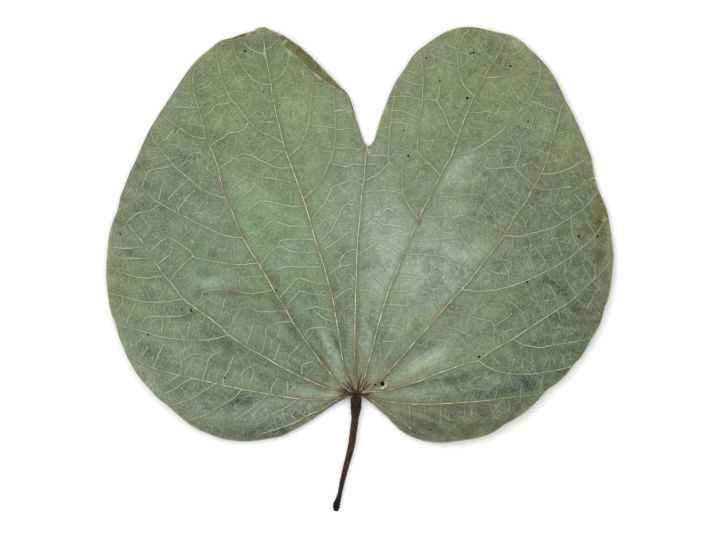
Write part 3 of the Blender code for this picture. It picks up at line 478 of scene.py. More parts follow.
GREENER = [
    (-71, 147, 48, 92, 10, 20), (-166, 137, 54, 60, 6), (-6, 207, 30, 50, 5), (-96, 77, 26, 15, 5, 80),
    (-34, 262, 20, 14, 4), (184, 247, 17, 12, 4, 90), (-106, 32, 50, 11, 4, -20), (-150, 140, 100, 110, 2),
    (-4, 137, 60, 6, 3, 90), (-41, 92, 8, 17, 4.5), (-71, 52, 13, 8, 4, -30), (-46, 72, 10, 9, 3),
    (-96, 92, 28, 13, 3, -30), (59, 210, 8, 11, 4), (84, 130, 15, 13, 3), (-11, 237, 11, 11, 3),
    (-186, 205, 28, 15, 3), (-146, 37, 28, 19, 3), (109, -3, 15, 8, 4), (119, -16, 13, 6, 4),
    (247, 180, 6, 13, 6), (244, 130, 9, 13, 4), (174, 242, 9, 13, 4), (199, 237, 6, 8, 4),
    (-141, 67, 12, 9, 3),
]
REDDER = [
    (204, 237, 60, 84, 5), (244, 182, 12, 34, 6), (144, 347, 64, 30, 6), (-101, 360, 44, 16, 7),
    (124, -13, 92, 30, 6), (54, 342, 18, 42, 5), (0, 12, 20, 16, 20), (244, 97, 20, 64, 6),
    (-236, 147, 20, 90, 4), (174, 312, 28, 24, 4), (74, 36, 32, 8, 5, 30), (229, 87, 24, 12, 4, 30),
    (64, -38, 22, 8, 7), (200, 20, 30, 12, 3, 40), (-101, 147, 9, 9, 6), (-76, 132, 20, 9, 5),
    (-81, 112, 8, 13, 4), (-126, 192, 8, 28, 4, 25), (-66, 182, 15, 13, 3), (-20, 97, 5, 19, 4),
    (9, 112, 6, 8, 5), (29, 87, 7, 18, 3, -20), (39, 35, 8, 7, 5), (89, 209, 42, 9, 4.5, 54),
    (112, 300, 8, 28, 4.5, -5), (152, 358, 15, 6, 8, -20), (66, 345, 15, 7, 7, 40), (114, 368, 30, 5, 5),
    (174, 302, 13, 11, 4), (196, 322, 8, 15, 4, 20), (229, 235, 7, 19, 4, 15), (224, 152, 10, 9, 5, 45),
    (187, 72, 8, 8, 7), (236, 82, 11, 11, 4), (169, 117, 19, 6, 4, 10), (94, 97, 28, 7, 4, 50),
    (114, 32, 25, 11, 4), (64, 12, 19, 6, 4, 10), (204, 12, 28, 9, 5, 40), (94, -42, 30, 5, 6),
    (-91, 365, 13, 6, 6), (-196, 280, 9, 7, 4, 60), (-5, 285, 4, 12, 6, 15), (-151, 90, 10, 6, 4),
    (-61, -3, 12, 6, 6), (-76, 32, 15, 6, 3, -35), (-141, -33, 30, 6, 4, -10), (-26, 3, 8, 5, 4),
]
STAINS = [  # dark olive
    (242.8, 140.8, 4.2, 5.2, 100), (229, 132, 5, 4, 60), (209, 72.5, 5, 2.6, 85), (201, 77, 3, 2, 60),
    (219, 86, 5, 4, 50), (226, 77, 4, 3, 50), (158, 54.5, 3.5, 3, 80), (173, 50, 6, 2.4, 70),
    (184, 50, 5, 3, 50), (178, 42, 4, 5, 60), (111, -34, 11, 8, 90, 30), (161, -11, 4.5, 4, 80),
    (149, -24, 12, 3, 70, 20), (91, 17, 4, 3, 70), (107, 19, 4, 4, 70), (-126, 47, 7, 4, 50, -30),
    (-123, 104, 9, 3, 70), (-98, 101, 7, 3, 60), (-226, 145, 5, 4, 40), (129, 224, 4, 3, 60),
    (144, 227, 4, 3, 50), (-146, 12, 5, 3, 50), (-116, 5, 5, 3, 50), (100, 10, 12, 2, 60, -60),
    (-143, 143, 5, 3, 40), (208, 164, 12, 5, 40, 30), (-80, 117, 4, 8, 50, 20), (70, 130, 5, 8, 30),
    (-117, 360, 12, 2, 90, 16), (-74, 361, 5, 3, 80, -30), (248, 122, 4, 24, 40, 10), (63, 175, 4, 4, 50),
    (150, 71, 8, 3, 40), (0, 74, 3, 12, 30), (96, -8, 30, 4, 50, 6), (70, -30, 26, 6, 50, -20),
    (122, 106, 12, 3, 40), (229, 169, 3.5, 5, 70), (15, 76, 5, 7, 40), (60, 73, 5, 7, 40),
    (-102, 363.5, 1.6, 1.8, 90), (-77, 359, 2, 2, 80),
]
RUSTS = [  # orange brown, mostly where veins part
    (187, 225, 4, 5, 80), (149, 166.5, 5, 3, 50, 50), (178, 210, 3, 3, 60), (96, 241, 3, 4, 70),
    (10, 248, 3.5, 4, 100), (7, 256, 2, 7, 80, 16), (15, 255, 2, 4, 70, -20), (118, 300, 3, 3, 50),
    (-85, 311, 3, 4, 50), (-73, 254, 3, 3, 50), (-56, 339, 5, 3, 50, -40), (-36, 322, 8, 2, 50, -40),
    (-22, 312, 8, 2, 60, -40), (-80, 362, 4, 2.5, 80), (-108, 361, 5, 2, 80, 16), (240, 190, 3, 9, 60, 20),
    (241, 199, 6, 4, 70, 30), (62, 176, 3, 3, 50), (-113, 159, 3, 3, 40), (-100, 134, 3, 3, 40),
    (-5, 300, 2, 12, 50, 12), (238, 183, 3, 4, 30), (217.5, 248.5, 2, 2, 70), (75, 311.5, 2, 2, 60),
    (24, 15, 8, 3, 50, 30), (-10, 4, 10, 3, 60, 20), (-54, 341.5, 5, 1.2, 80), (-69, 353, 3, 1.2, 80, 40),
    (-122, 357, 8, 3, 50, 16),
]
PALES = [  # cream flecks
    (26.4, 9.4, 2.4, 1.3, 80, 10), (29.2, 12.8, 1.2, 3.0, 80, 10), (-38, 319.5, 6, 1.3, 35, -38),
    (246, 192.4, 3, 1.2, 20), (248.5, 177.4, 3, 1.3, 35, 20), (240, 214.5, 8.5, 1.2, 35, -78),
    (-91.5, 343, 1.4, 5, 35, 4), (-66.5, 343.5, 5, 1.2, 40, -50), (-72, 354, 4, 1.2, 40, 35),
    (-76, 362, 2.2, 1.8, 45), (-107, 362, 3, 1.4, 45, 16), (12, 246, 1.5, 4, 45, 20),
]
PATCH_SHARPNESS = 1.2  # at its reach, a patch is down to e to the power of minus this
PATCH_GRID = np.linspace(-1.25, 1.25, 6)  # where a small patch has points of its own, in its reaches
FIRM_BELOW = 9  # steps: smaller stains have firm edges
FIRM_EDGE = 0.25  # where a firm edge starts, and how wide it is, in the patch's fall from 1 to 0
SOFT_GAIN = 1.5  # a larger stain is this much stronger at its middle, up to the full tone
SPECKS = [  # x, y and radius, in steps
    (-111, 345.5, 1.2), (-92.5, 305.5, 0.8), (-235, 163, 0.9), (-164.5, 86.5, 1.2), (-25, 49.5, 1.1),
    (-39, 21, 1.2), (-65.5, 10.5, 0.9), (-131.5, 19.5, 1.0), (-28.5, -6.5, 0.8), (117, 343.5, 1.1),
    (154, 330.5, 1.1), (111, 298.5, 1.5), (83.5, 315.5, 0.8), (70, 338.5, 0.9), (171.5, 275, 1.1),
    (47.5, 266.5, 0.8), (52.5, 241, 1.2), (222, 160.5, 1.2), (241, 160.5, 1.1), (170.5, 115, 1.0),
    (122.5, 40.5, 1.0), (94.5, -18.5, 1.0), (-207.5, 62.5, 0.8), (19, 12.5, 1.1), (74, -32.5, 0.8),
    (-80, 107, 0.8), (26.0, 13.8, 2.4), (114, 342.8, 0.9),
]
SPECK_SCALE = 1.12
SPECK_SIDES = 12
SPECK_RINGS = 4
SPECK_WIDTH = (0.9, 1.15)  # from and to, in radii, as are the breadth, the rise and the wobble
SPECK_BREADTH = (0.85, 1.05)
SPECK_RISE = 0.30
SPECK_WOBBLE = 0.10
SPECK_FOOT = 0.03 * MM  # below the surface
SPECK_DEPTH = 0.12 * MM

# The stalk
STALK_SPACING = 0.30 * MM
STALK_SIDES = 32
STALK_TOP_RADIUS = 5.3 * STEP
STALK_END_HEIGHT = 3.7 * STEP  # of its lower end's middle, above the table
STALK_FOLDS = ((0.05, 5, 2, 1.3), (0.025, 11, 5, 0))  # share of the radius, folds round, twist, phase
KNUCKLE_RISE = 0.025  # of the radius: fine rings round the upper swelling
KNUCKLE_TURNS = 110  # their wave's angle over the stalk's whole length, in radians
KNUCKLE_END = 0.2  # only this share of the stalk has them
STALK_TIP = 0.35  # how far its ends bulge, in radii

# The table, the light and the camera, in metres and watts
TABLE_HALF = 2.0
TABLE_DROP = 0.02 * MM
ROOM_LEVEL = 1.12
KEY_SIZE = 1.7
KEY_POWER = 6.9
KEY_COLOUR = (1.0, 0.99, 0.97)
KEY_PLACE = (-0.54, 0.52, 1.02)
CAMERA_HEIGHT = 1.0
CAMERA_SEES = 10.0
SENSOR_WIDTH = 36.0
VIEW_WIDTH = 0.180
VIEW_CENTRE = (0.0, -0.1 * MM)
LIGHT_LEVEL = 1.425  # how bright a white surface shows under this light


def smoothstep(value):
    value = np.clip(value, 0, 1)
    return value * value * (3 - 2 * value)


def catmull_rom(points, spacing):
    """Points about a spacing apart on the smooth curve through these, with both ends kept."""
    points = np.array(points, float)
    padded = np.vstack([2 * points[0] - points[1], points, 2 * points[-1] - points[-2]])
    dense = []
    for a, b, c, d in zip(padded, padded[1:], padded[2:], padded[3:]):
        for t in np.arange(CURVE_PARTS) / CURVE_PARTS:
            bend = (2 * a - 5 * b + 4 * c - d) * t * t + (3 * b - a - 3 * c + d) * t**3
            dense.append(b + 0.5 * ((c - a) * t + bend))
    dense = np.array([*dense, points[-1]])
    along = lengths_along(dense[:, :2])
    stops = np.linspace(0, along[-1], max(1, round(along[-1] / spacing)) + 1)
    return np.column_stack([np.interp(stops, along, column) for column in dense.T])


def lengths_along(line):
    return np.concatenate([[0], np.cumsum(np.linalg.norm(np.diff(line, axis=0), axis=1))])


def in_metres(route):
    return STEP * np.array(route, float)


def rotate(x, y, angle):
    return x * math.cos(angle) - y * math.sin(angle), x * math.sin(angle) + y * math.cos(angle)


def closed(loop):
    """The loop with its first point again at its end."""
    return np.vstack([loop, loop[:1]])


def outline():
    left = catmull_rom(in_metres(LEFT_MARGIN), OUTLINE_SPACING)
    right = catmull_rom(in_metres(RIGHT_MARGIN), OUTLINE_SPACING)
    return np.vstack([left, right[1:]])


def left_of(line):
    """At each point of a line, the unit vector to its left."""
    along = np.gradient(line, axis=0)
    along /= np.linalg.norm(along, axis=1)[:, None]
    return np.column_stack([-along[:, 1], along[:, 0]])


def inside(loop, points):
    """Which of the points lie inside the loop, by counting the margin's crossings to their right."""
    found = np.zeros(len(points), bool)
    for (x0, y0), (x1, y1) in zip(loop, np.roll(loop, -1, axis=0)):
        between = (points[:, 1] < y0) != (points[:, 1] < y1)
        if between.any():
            crossing = x0 + (points[between, 1] - y0) * (x1 - x0) / (y1 - y0)
            found[between] ^= points[between, 0] < crossing
    return found


def near_segments(line, points, reach):
    """For each stretch of a line: its number, the points within reach, how far along and how far away."""
    order = np.argsort(points[:, 0])
    xs = points[order, 0]
    for k in range(len(line) - 1):
        start, end = line[k], line[k + 1]
        low, high = np.minimum(start, end) - reach, np.maximum(start, end) + reach
        some = order[np.searchsorted(xs, low[0]):np.searchsorted(xs, high[0])]
        some = some[(points[some, 1] > low[1]) & (points[some, 1] < high[1])]
        if len(some):
            run = end - start
            t = np.clip((points[some] - start) @ run / (run @ run), 0, 1)
            away = np.linalg.norm(points[some] - start - t[:, None] * run, axis=1)
            yield k, some, t, away


def away_from(lines, points, reach):
    """How far each point is from the nearest line, up to the reach."""
    away = np.full(len(points), reach)
    for line in lines:
        for _, some, _, off in near_segments(line, points, reach):
            away[some] = np.minimum(away[some], off)
    return away


def tree_of(points):
    tree = KDTree(len(points))
    for k, (x, y) in enumerate(points):
        tree.insert((x, y, 0), k)
    tree.balance()
    return tree


def off_from(taken, points):
    """How far each point is from the nearest of the taken ones."""
    tree = tree_of(taken)
    return np.array([tree.find((*point, 0))[2] for point in points.tolist()])


class Vein:
    """A ridge along a route, tapering from its root to its tip."""

    def __init__(self, route, size):
        self.line = catmull_rom(in_metres(route), size["spacing"])
        own_seed = round(1e6 * abs(self.line[0, 0]) + 1e7 * abs(self.line[-1, 1]))  # from its two ends
        strays = size["wander"] * np.random.default_rng(own_seed).standard_normal(len(self.line))
        strays[[0, -1]] = 0
        self.line = self.line + strays[:, None] * left_of(self.line)
        share = np.linspace(0, 1, len(self.line))
        self.half = np.interp(share, np.linspace(0, 1, len(size["half"])), size["half"])
        self.height = np.interp(share, [0, 1], size["height"])

    def profile(self, points):
        """From 0 at the foot to 1 on the crest, and how high the crest is there."""
        best = np.zeros(len(points))
        height = np.zeros(len(points))
        for k, some, t, away in near_segments(self.line, points, self.half.max()):
            half = self.half[k] + t * (self.half[k + 1] - self.half[k])
            crest = self.height[k] + t * (self.height[k + 1] - self.height[k])
            level = np.clip(1 - away / half, 0, 1)
            better = level > best[some]
            best[some[better]] = level[better]
            height[some[better]] = crest[better]
        return best, height

    def sides(self, share):
        across = share * self.half[:, None] * left_of(self.line)
        return [self.line - across, self.line + across]


class TurnedMargin:
    """A strip of margin turned over and pressed flat, on the left of a line."""

    def __init__(self, route):
        self.line = catmull_rom(in_metres(route), RIB["spacing"])

    def level(self, points):
        beyond = self.line + TURNED_REACH * left_of(self.line)
        off = away_from([self.line], points, TURNED_EDGE)
        return inside(np.vstack([self.line, beyond[::-1]]), points) * off / TURNED_EDGE


def fan_of_fibres():
    """Short fibres that spread over the blade's base from under the stalk, and how tan each one is."""
    random = np.random.default_rng(SEED)
    fibres, tones = [], []
    for angle in np.linspace(-FIBRE_SPREAD, FIBRE_SPREAD, FIBRE_COUNT):
        turn = math.radians(angle + random.normal(0, FIBRE_STRAY))
        start, end = random.uniform(*FIBRE_ROOTS), random.uniform(*FIBRE_TIPS)
        bend = math.radians(random.normal(0, FIBRE_BEND))
        stops = [(start, turn), ((start + end) / 2, turn + bend / 2), (end, turn + bend)]
        fibres.append(Vein([(r * math.sin(t), FIBRE_CENTRE + r * math.cos(t)) for r, t in stops], FIBRE))
        tones.append(random.choice(FIBRE_TANS))
    return fibres, tones


ribs = [Vein(route, RIB) for route in RIBS.values()]
branches = [Vein(route, BRANCH) for route in BRANCHES.values()]
ladders = [Vein(route, LADDER) for route in LADDERS]
turned_margins = [TurnedMargin(route) for route in TURNED_MARGINS.values()]
fibres, fibre_tones = fan_of_fibres()


class SpurGrower:
    """Grows short fine veins from both sides of every vein, each ending where it meets another."""

    def __init__(self, loop, parents):
        self.random = np.random.default_rng(SEED)
        self.taken, self.grown = {}, []
        self.take(closed(loop), -1)
        for owner, (_, line) in enumerate(parents):
            self.take(line, owner)
        for owner, (kind, line) in enumerate(parents):
            self.grow(kind, line, owner, len(parents))
        for owner, line in enumerate(self.grown[:]):
            self.grow("spur", line, len(parents) + owner, len(parents))

    def cell(self, x, y):
        return round(x / SPUR_CELL), round(y / SPUR_CELL)

    def take(self, line, owner):
        """Marks the cells under a line as its owner's, where no vein has them yet."""
        for (x0, y0), (x1, y1) in zip(line.tolist(), line[1:].tolist()):
            count = 1 + int(math.hypot(x1 - x0, y1 - y0) / (SPUR_MARK * SPUR_CELL))
            for k in range(count + 1):
                t = k / count
                self.taken.setdefault(self.cell(x0 + t * (x1 - x0), y0 + t * (y1 - y0)), owner)

    def grow(self, kind, line, owner, first):
        runs, across = lengths_along(line), left_of(line)
        for side in (1, -1):
            at = self.random.uniform(*SPUR_GAPS[kind])
            while at < runs[-1]:
                k = int(np.searchsorted(runs, at)) - 1
                start = line[k] + (at - runs[k]) / (runs[k + 1] - runs[k]) * (line[k + 1] - line[k])
                outward = side * across[k]
                lean = side * math.radians(self.random.normal(*SPUR_LEAN))
                route = self.walk(start.tolist(), math.atan2(outward[1], outward[0]) - lean, owner)
                if len(route) > SPUR_SHORTEST and math.hypot(*start) > SPUR_CLEAR:
                    route = np.array(route)
                    self.take(route[SPUR_LEAVING:], first + len(self.grown))
                    self.grown.append(route)
                at += self.random.uniform(*SPUR_GAPS[kind])

    def walk(self, start, heading, owner):
        route = [start]
        strides = int(self.random.uniform(*SPUR_REACH) / SPUR_STRIDE)
        for stride in range(strides):
            sharp = self.random.random() < SPUR_KINK[0]
            heading += math.radians(self.random.normal(0, SPUR_KINK[1] if sharp else SPUR_BEND))
            x, y = route[-1]
            route.append([x + SPUR_STRIDE * math.cos(heading), y + SPUR_STRIDE * math.sin(heading)])
            met = self.taken.get(self.cell(*route[-1]))
            if met is not None and (stride >= SPUR_LEAVING or met != owner):
                break
        return route


def grow_spurs(loop):
    kinds = (("rib", ribs), ("branch", branches), ("ladder", ladders))
    grown = SpurGrower(loop, [(kind, vein.line) for kind, veins in kinds for vein in veins]).grown
    random = np.random.default_rng(SEED)
    return [Vein(line / STEP, SPUR) for line in grown], random.uniform(*SPUR_SEEN, len(grown)).tolist()


def lie(points):
    """Height of the blade's lower face above the table."""
    across, along = points[:, 0] - FLAT_CENTRE[0], points[:, 1] - FLAT_CENTRE[1]
    rise = smoothstep((np.hypot(across, along) - FLAT_RADIUS) / (RISE_RADIUS - FLAT_RADIUS))
    turn = np.arctan2(across, along)
    height = np.full(len(points), MARGIN_RISE)
    for wave in (LOBE_WAVE, RIPPLE):
        height += wave["height"] * (0.5 + 0.5 * np.sin(wave["turns"] * turn + wave["phase"]))
    return rise * height + pleat(points)


def pleat(points):
    """The blade is drawn up along each rib near the stalk, and hangs between them."""
    out = np.hypot(points[:, 0], points[:, 1])
    heading = np.arctan2(points[:, 0], points[:, 1])
    nearest = np.full(len(points), math.pi)
    for route in RIBS.values():
        x, y = route[2]  # where the rib has left the stalk's joint
        apart = np.abs(np.angle(np.exp(1j * (heading - math.atan2(x, y)))))
        nearest = np.minimum(nearest, apart)
    swell = smoothstep(out / PLEAT_START) * (1 - smoothstep(out / PLEAT_LENGTH))
    return PLEAT_HEIGHT * swell * (1 - smoothstep(nearest / PLEAT_HALF_ANGLE))


def oval(points, x, y, along, across, strength, turn=0):
    """A patch's fall from 1 at its middle to 0 well outside it, and its strength."""
    off = points / STEP - (x, y)
    u, v = rotate(off[:, 0], off[:, 1], -math.radians(turn))
    u, v = u / along, v / across
    return np.exp(-PATCH_SHARPNESS * (u * u + v * v)), strength / 100


def clouds(points, patches):
    return sum(strength * fall for fall, strength in (oval(points, *patch) for patch in patches))


def stains(points, patches):
    """Small patches with firmer edges, laid over each other."""
    clear = np.ones(len(points))
    for patch in patches:
        fall, strength = oval(points, *patch)
        if max(patch[2:4]) < FIRM_BELOW:
            clear *= 1 - strength * smoothstep((fall - FIRM_EDGE) / FIRM_EDGE)
        else:
            clear *= 1 - np.clip(SOFT_GAIN * strength * fall, 0, 1)
    return 1 - clear


def patch_points(x, y, along, across, strength, turn=0):
    """Close points over a small patch, so that its edge shows."""
    for u in PATCH_GRID:
        for v in PATCH_GRID:
            right, up = rotate(u * along, v * across, math.radians(turn))
            yield STEP * np.array([x + right, y + up])


def blade_lines(spurs):
    """What the blade's triangles follow: each vein's middle and feet, the ribs' flanks, the turned strips."""
    lines = []
    for veins, shares in ((ribs, (1, 0.5)), (branches + ladders + fibres + spurs, (1,))):
        for vein in veins:
            lines += [vein.line, *(side for share in shares for side in vein.sides(share))]
    for strip in turned_margins:
        lines += [strip.line, strip.line + TURNED_EDGE * left_of(strip.line)]
    return lines


def blade_plan(loop, spurs):
    """Flat triangles over the blade, whose edges follow the margin and every vein."""
    rim = loop - RIM_WIDTH * left_of(closed(loop))[:-1]
    lines = [rim, *blade_lines(spurs)]
    spots = [place for table in (STAINS, RUSTS, PALES) for patch in table for place in patch_points(*patch)]
    within = np.vstack([*lines, spots])
    gap = np.full(len(within), LINE_GAP)
    gap[:len(rim)] = RIM_GAP
    clear = inside(loop, within) & (off_from(loop, within) > gap)

    points = loop.tolist()
    edges = [(k, (k + 1) % len(loop)) for k in range(len(loop))]
    done = 0
    for line in lines:
        before = None
        for point, keep in zip(line.tolist(), clear[done:done + len(line)]):
            if keep:
                points.append(point)
                if before is not None:
                    edges.append((before, len(points) - 1))
            before = len(points) - 1 if keep else None
        done += len(line)
    points += within[done:][clear[done:]].tolist()
    points += fill(loop, np.array(points))
    made = delaunay_2d_cdt([Vector(p) for p in points], edges, [], KEEP_INSIDE, MERGE)
    return np.array([tuple(v) for v in made[0]]), made[2]


def fill(loop, taken):
    """An even pattern of points for the open blade between the veins."""
    low, high = loop.min(axis=0), loop.max(axis=0)
    rows = []
    for k, y in enumerate(np.arange(low[1], high[1], FILL_SPACING * math.sqrt(0.75))):
        rows += [(x, y) for x in np.arange(low[0] + (k % 2) * FILL_SPACING / 2, high[0], FILL_SPACING)]
    rows = np.array(rows)
    rows = rows[inside(loop, rows)]
    return rows[off_from(taken, rows) > CLEAR_OF_LINES].tolist()


def veins_at(veins, points, tones=None):
    """The highest vein at each point: its level from foot to crest, its crest's height, and its tone."""
    level, height, own_tone = (np.zeros(len(points)) for _ in range(3))
    for k, vein in enumerate(veins):
        one, crest = vein.profile(points)
        better = one > level
        level[better], height[better] = one[better], crest[better]
        if tones:
            own_tone[better] = tones[k]
    return level, height, own_tone


def vein_fields(plan, spurs, spur_tones):
    """What the materials read of each kind of vein, and the height that the veins add."""
    fields, relief = {}, np.zeros(len(plan))
    for name, veins, tones in (
        ("rib", ribs, None), ("branch", branches, None), ("ladder", ladders, None),
        ("fibre", fibres, fibre_tones), ("spur", spurs, spur_tones),
    ):
        level, height, own_tone = veins_at(veins, plan, tones)
        round_section = np.sqrt(np.clip(level * (2 - level), 0, 1))
        relief = np.maximum(relief, round_section * height)
        fields[name] = level
        if tones:
            fields[name + "_tone"] = own_tone
    for name, lines in (("branch_off", branches), ("ladder_off", ladders), ("inner_edge", turned_margins)):
        fields[name] = away_from([one.line for one in lines], plan, FLANK_WIDTH) / MM
    return fields, relief


def closed_sheet(plan, faces, top, bottom):
    """A sheet with the same flat triangles on top and below: its vertices, its faces, how many are on top."""
    count = len(plan)
    vertices = np.vstack([np.column_stack([plan, top]), np.column_stack([plan, bottom])])
    triangles = np.array([face for face in faces if len(face) == 3])
    first, second, third = (plan[triangles[:, k]] for k in range(3))
    ab, ac = second - first, third - first
    facing_down = ab[:, 0] * ac[:, 1] - ab[:, 1] * ac[:, 0] < 0
    triangles[facing_down] = triangles[facing_down][:, ::-1]
    owned = {edge for a, b, c in triangles.tolist() for edge in ((a, b), (b, c), (c, a))}
    sides = [(b, a, a + count, b + count) for a, b in owned if (b, a) not in owned]
    return vertices, [*triangles.tolist(), *(triangles[:, ::-1] + count).tolist(), *sides], len(triangles)


def add_object(name, data):
    made = bpy.data.objects.new(name, data)
    bpy.context.scene.collection.objects.link(made)
    return made


def add_mesh(name, vertices, faces, materials, fields=None):
    """A smooth mesh with these materials, and with a value at each vertex for every named field."""
    mesh = bpy.data.meshes.new(name)
    mesh.from_pydata(vertices, [], faces)
    mesh.shade_smooth()
    for material in materials:
        mesh.materials.append(material)
    for field, values in (fields or {}).items():
        mesh.attributes.new(field, "FLOAT", "POINT").data.foreach_set("value", values)
    return add_object(name, mesh)


def make_blade(middle):
    """The blade: a thin closed sheet with raised veins, and the fields that its materials read."""
    loop = outline()
    spurs, spur_tones = grow_spurs(loop)
    plan, faces = blade_plan(loop, spurs)
    fields, relief = vein_fields(plan, spurs, spur_tones)
    out, heading = np.hypot(plan[:, 0], plan[:, 1]), np.arctan2(plan[:, 0], plan[:, 1])
    margin = away_from([closed(loop)], plan, MARGIN_REACH)
    rib_off = away_from([vein.line for vein in ribs], plan, SWELL_WIDTH)
    turned = np.max([strip.level(plan) for strip in turned_margins], axis=0)
    fields |= {
        "rib_off": rib_off / MM, "turned": turned, "margin": margin / MM,
        "outwards": out / MM, "around": heading * (out + AROUND_START) / MM, "heading": heading,
        # paler and darker tone with painted highlights and painted shade, from the two patch tables
        "painted_light_and_tone": clouds(plan, LIGHTER_TONE_AND_PAINTED_LIGHT) - clouds(plan, DARKER_TONE_AND_PAINTED_SHADE),
        "yellower": clouds(plan, YELLOWER) - clouds(plan, BLUER),
        "greener": clouds(plan, GREENER) - clouds(plan, REDDER),
        "stain": stains(plan, STAINS), "rust": stains(plan, RUSTS), "pale": stains(plan, PALES),
    }

    boss = BOSS_HEIGHT * (1 - smoothstep(out / BOSS_RADIUS))
    rim = 1 - np.clip(margin / RIM_WIDTH, 0, 1)
    swell = SWELL_HEIGHT * (1 - smoothstep(rib_off / SWELL_WIDTH)) * smoothstep(margin / SWELL_CLEAR)
    raised = np.maximum(relief, boss + BOSS_RELIEF * relief) + swell + TURNED_HEIGHT * turned - RIM_DROP * rim
    low = lie(plan)
    vertices, all_faces, upper = closed_sheet(plan, faces, low + SHEET + raised, low + GROOVE * relief)
    vertices[:, :2] -= middle
    both_faces = {name: np.tile(values, 2) for name, values in fields.items()}
    materials = [underside_material(), face_material()]
    blade = add_mesh("leaf_blade", vertices.tolist(), all_faces, materials, both_faces)
    lower = np.zeros(len(all_faces), int)
    lower[upper:2 * upper] = 1
    blade.data.polygons.foreach_set("material_index", lower)
    blade.data.set_sharp_from_angle(angle=SHARP_ANGLE)
    return blade


def tone(red, green, blue):
    """The surface colour that shows as this 8-bit tone under the scene's light."""
    return tuple(((c / 255 + 0.055) / 1.055) ** 2.4 / LIGHT_LEVEL for c in (red, green, blue))


BASE_TONE = tone(124, 138, 106)
BLOOM_TONE = tone(172, 186, 174)
WISP_TONE = tone(202, 214, 202)
OLIVE_TONE = tone(100, 102, 68)
NET_TONE = tone(178, 192, 156)
SPUR_TONE = tone(198, 210, 172)
STAIN_TONE = tone(90, 94, 56)
RUST_TONE = tone(130, 116, 74)
PALE_TONE = tone(226, 216, 174)
TURNED_TONE = tone(120, 122, 84)
TURNED_DARK_TONE = tone(92, 96, 58)
TURNED_EDGE_TONE = tone(80, 70, 46)
# Painted shade in the dips beside the veins, browner near the base
FLANK_SHADE_TONE = tone(120, 128, 99)
FLANK_BASE_SHADE_TONE = tone(120, 116, 88)
LADDER_TONE = tone(210, 224, 190)
BRANCH_TONE = tone(190, 200, 162)
BRANCH_TAN_TONE = tone(162, 165, 126)
# The ribs' feet: brown, and partly painted shade along their sides
RIB_EDGE_BROWN_AND_SHADE_TONE = tone(122, 108, 72)
RIB_EDGE_BASE_BROWN_AND_SHADE_TONE = tone(92, 76, 54)
RIB_TAN_TONE = tone(190, 180, 138)
RIB_TAN_BASE_TONE = tone(178, 158, 116)
RIB_CREAM_TONE = tone(232, 236, 208)
RIM_PALE_TONE = tone(186, 182, 140)
RIM_DARK_TONE = tone(104, 92, 64)
DARK_BASE_TONE = tone(54, 42, 30)
FIBRE_BROWN_TONE = tone(58, 42, 28)
FIBRE_TAN_TONE = tone(186, 162, 120)
FACE_OLIVE_TONE = tone(84, 88, 54)
FACE_BROWN_TONE = tone(112, 106, 70)
FACE_SPECKLE_TONE = tone(74, 68, 44)
FACE_VEIN_TONE = tone(150, 134, 94)
BARK_DARK_TONE = tone(42, 27, 20)
BARK_BROWN_TONE = tone(86, 60, 45)
SEAT_DARK_TONE = tone(30, 22, 16)
SEAT_GREY_TONE = tone(52, 44, 32)
LOWER_BARK_TONE = tone(36, 27, 22)
STALK_END_TONE = tone(24, 20, 18)
BARK_SPECKLE_TONE = tone(120, 96, 76)
SPECK_BLACK_TONE = tone(14, 12, 10)
SPECK_BROWN_TONE = tone(34, 28, 22)
TABLE_WHITE = (0.95, 0.95, 0.95)


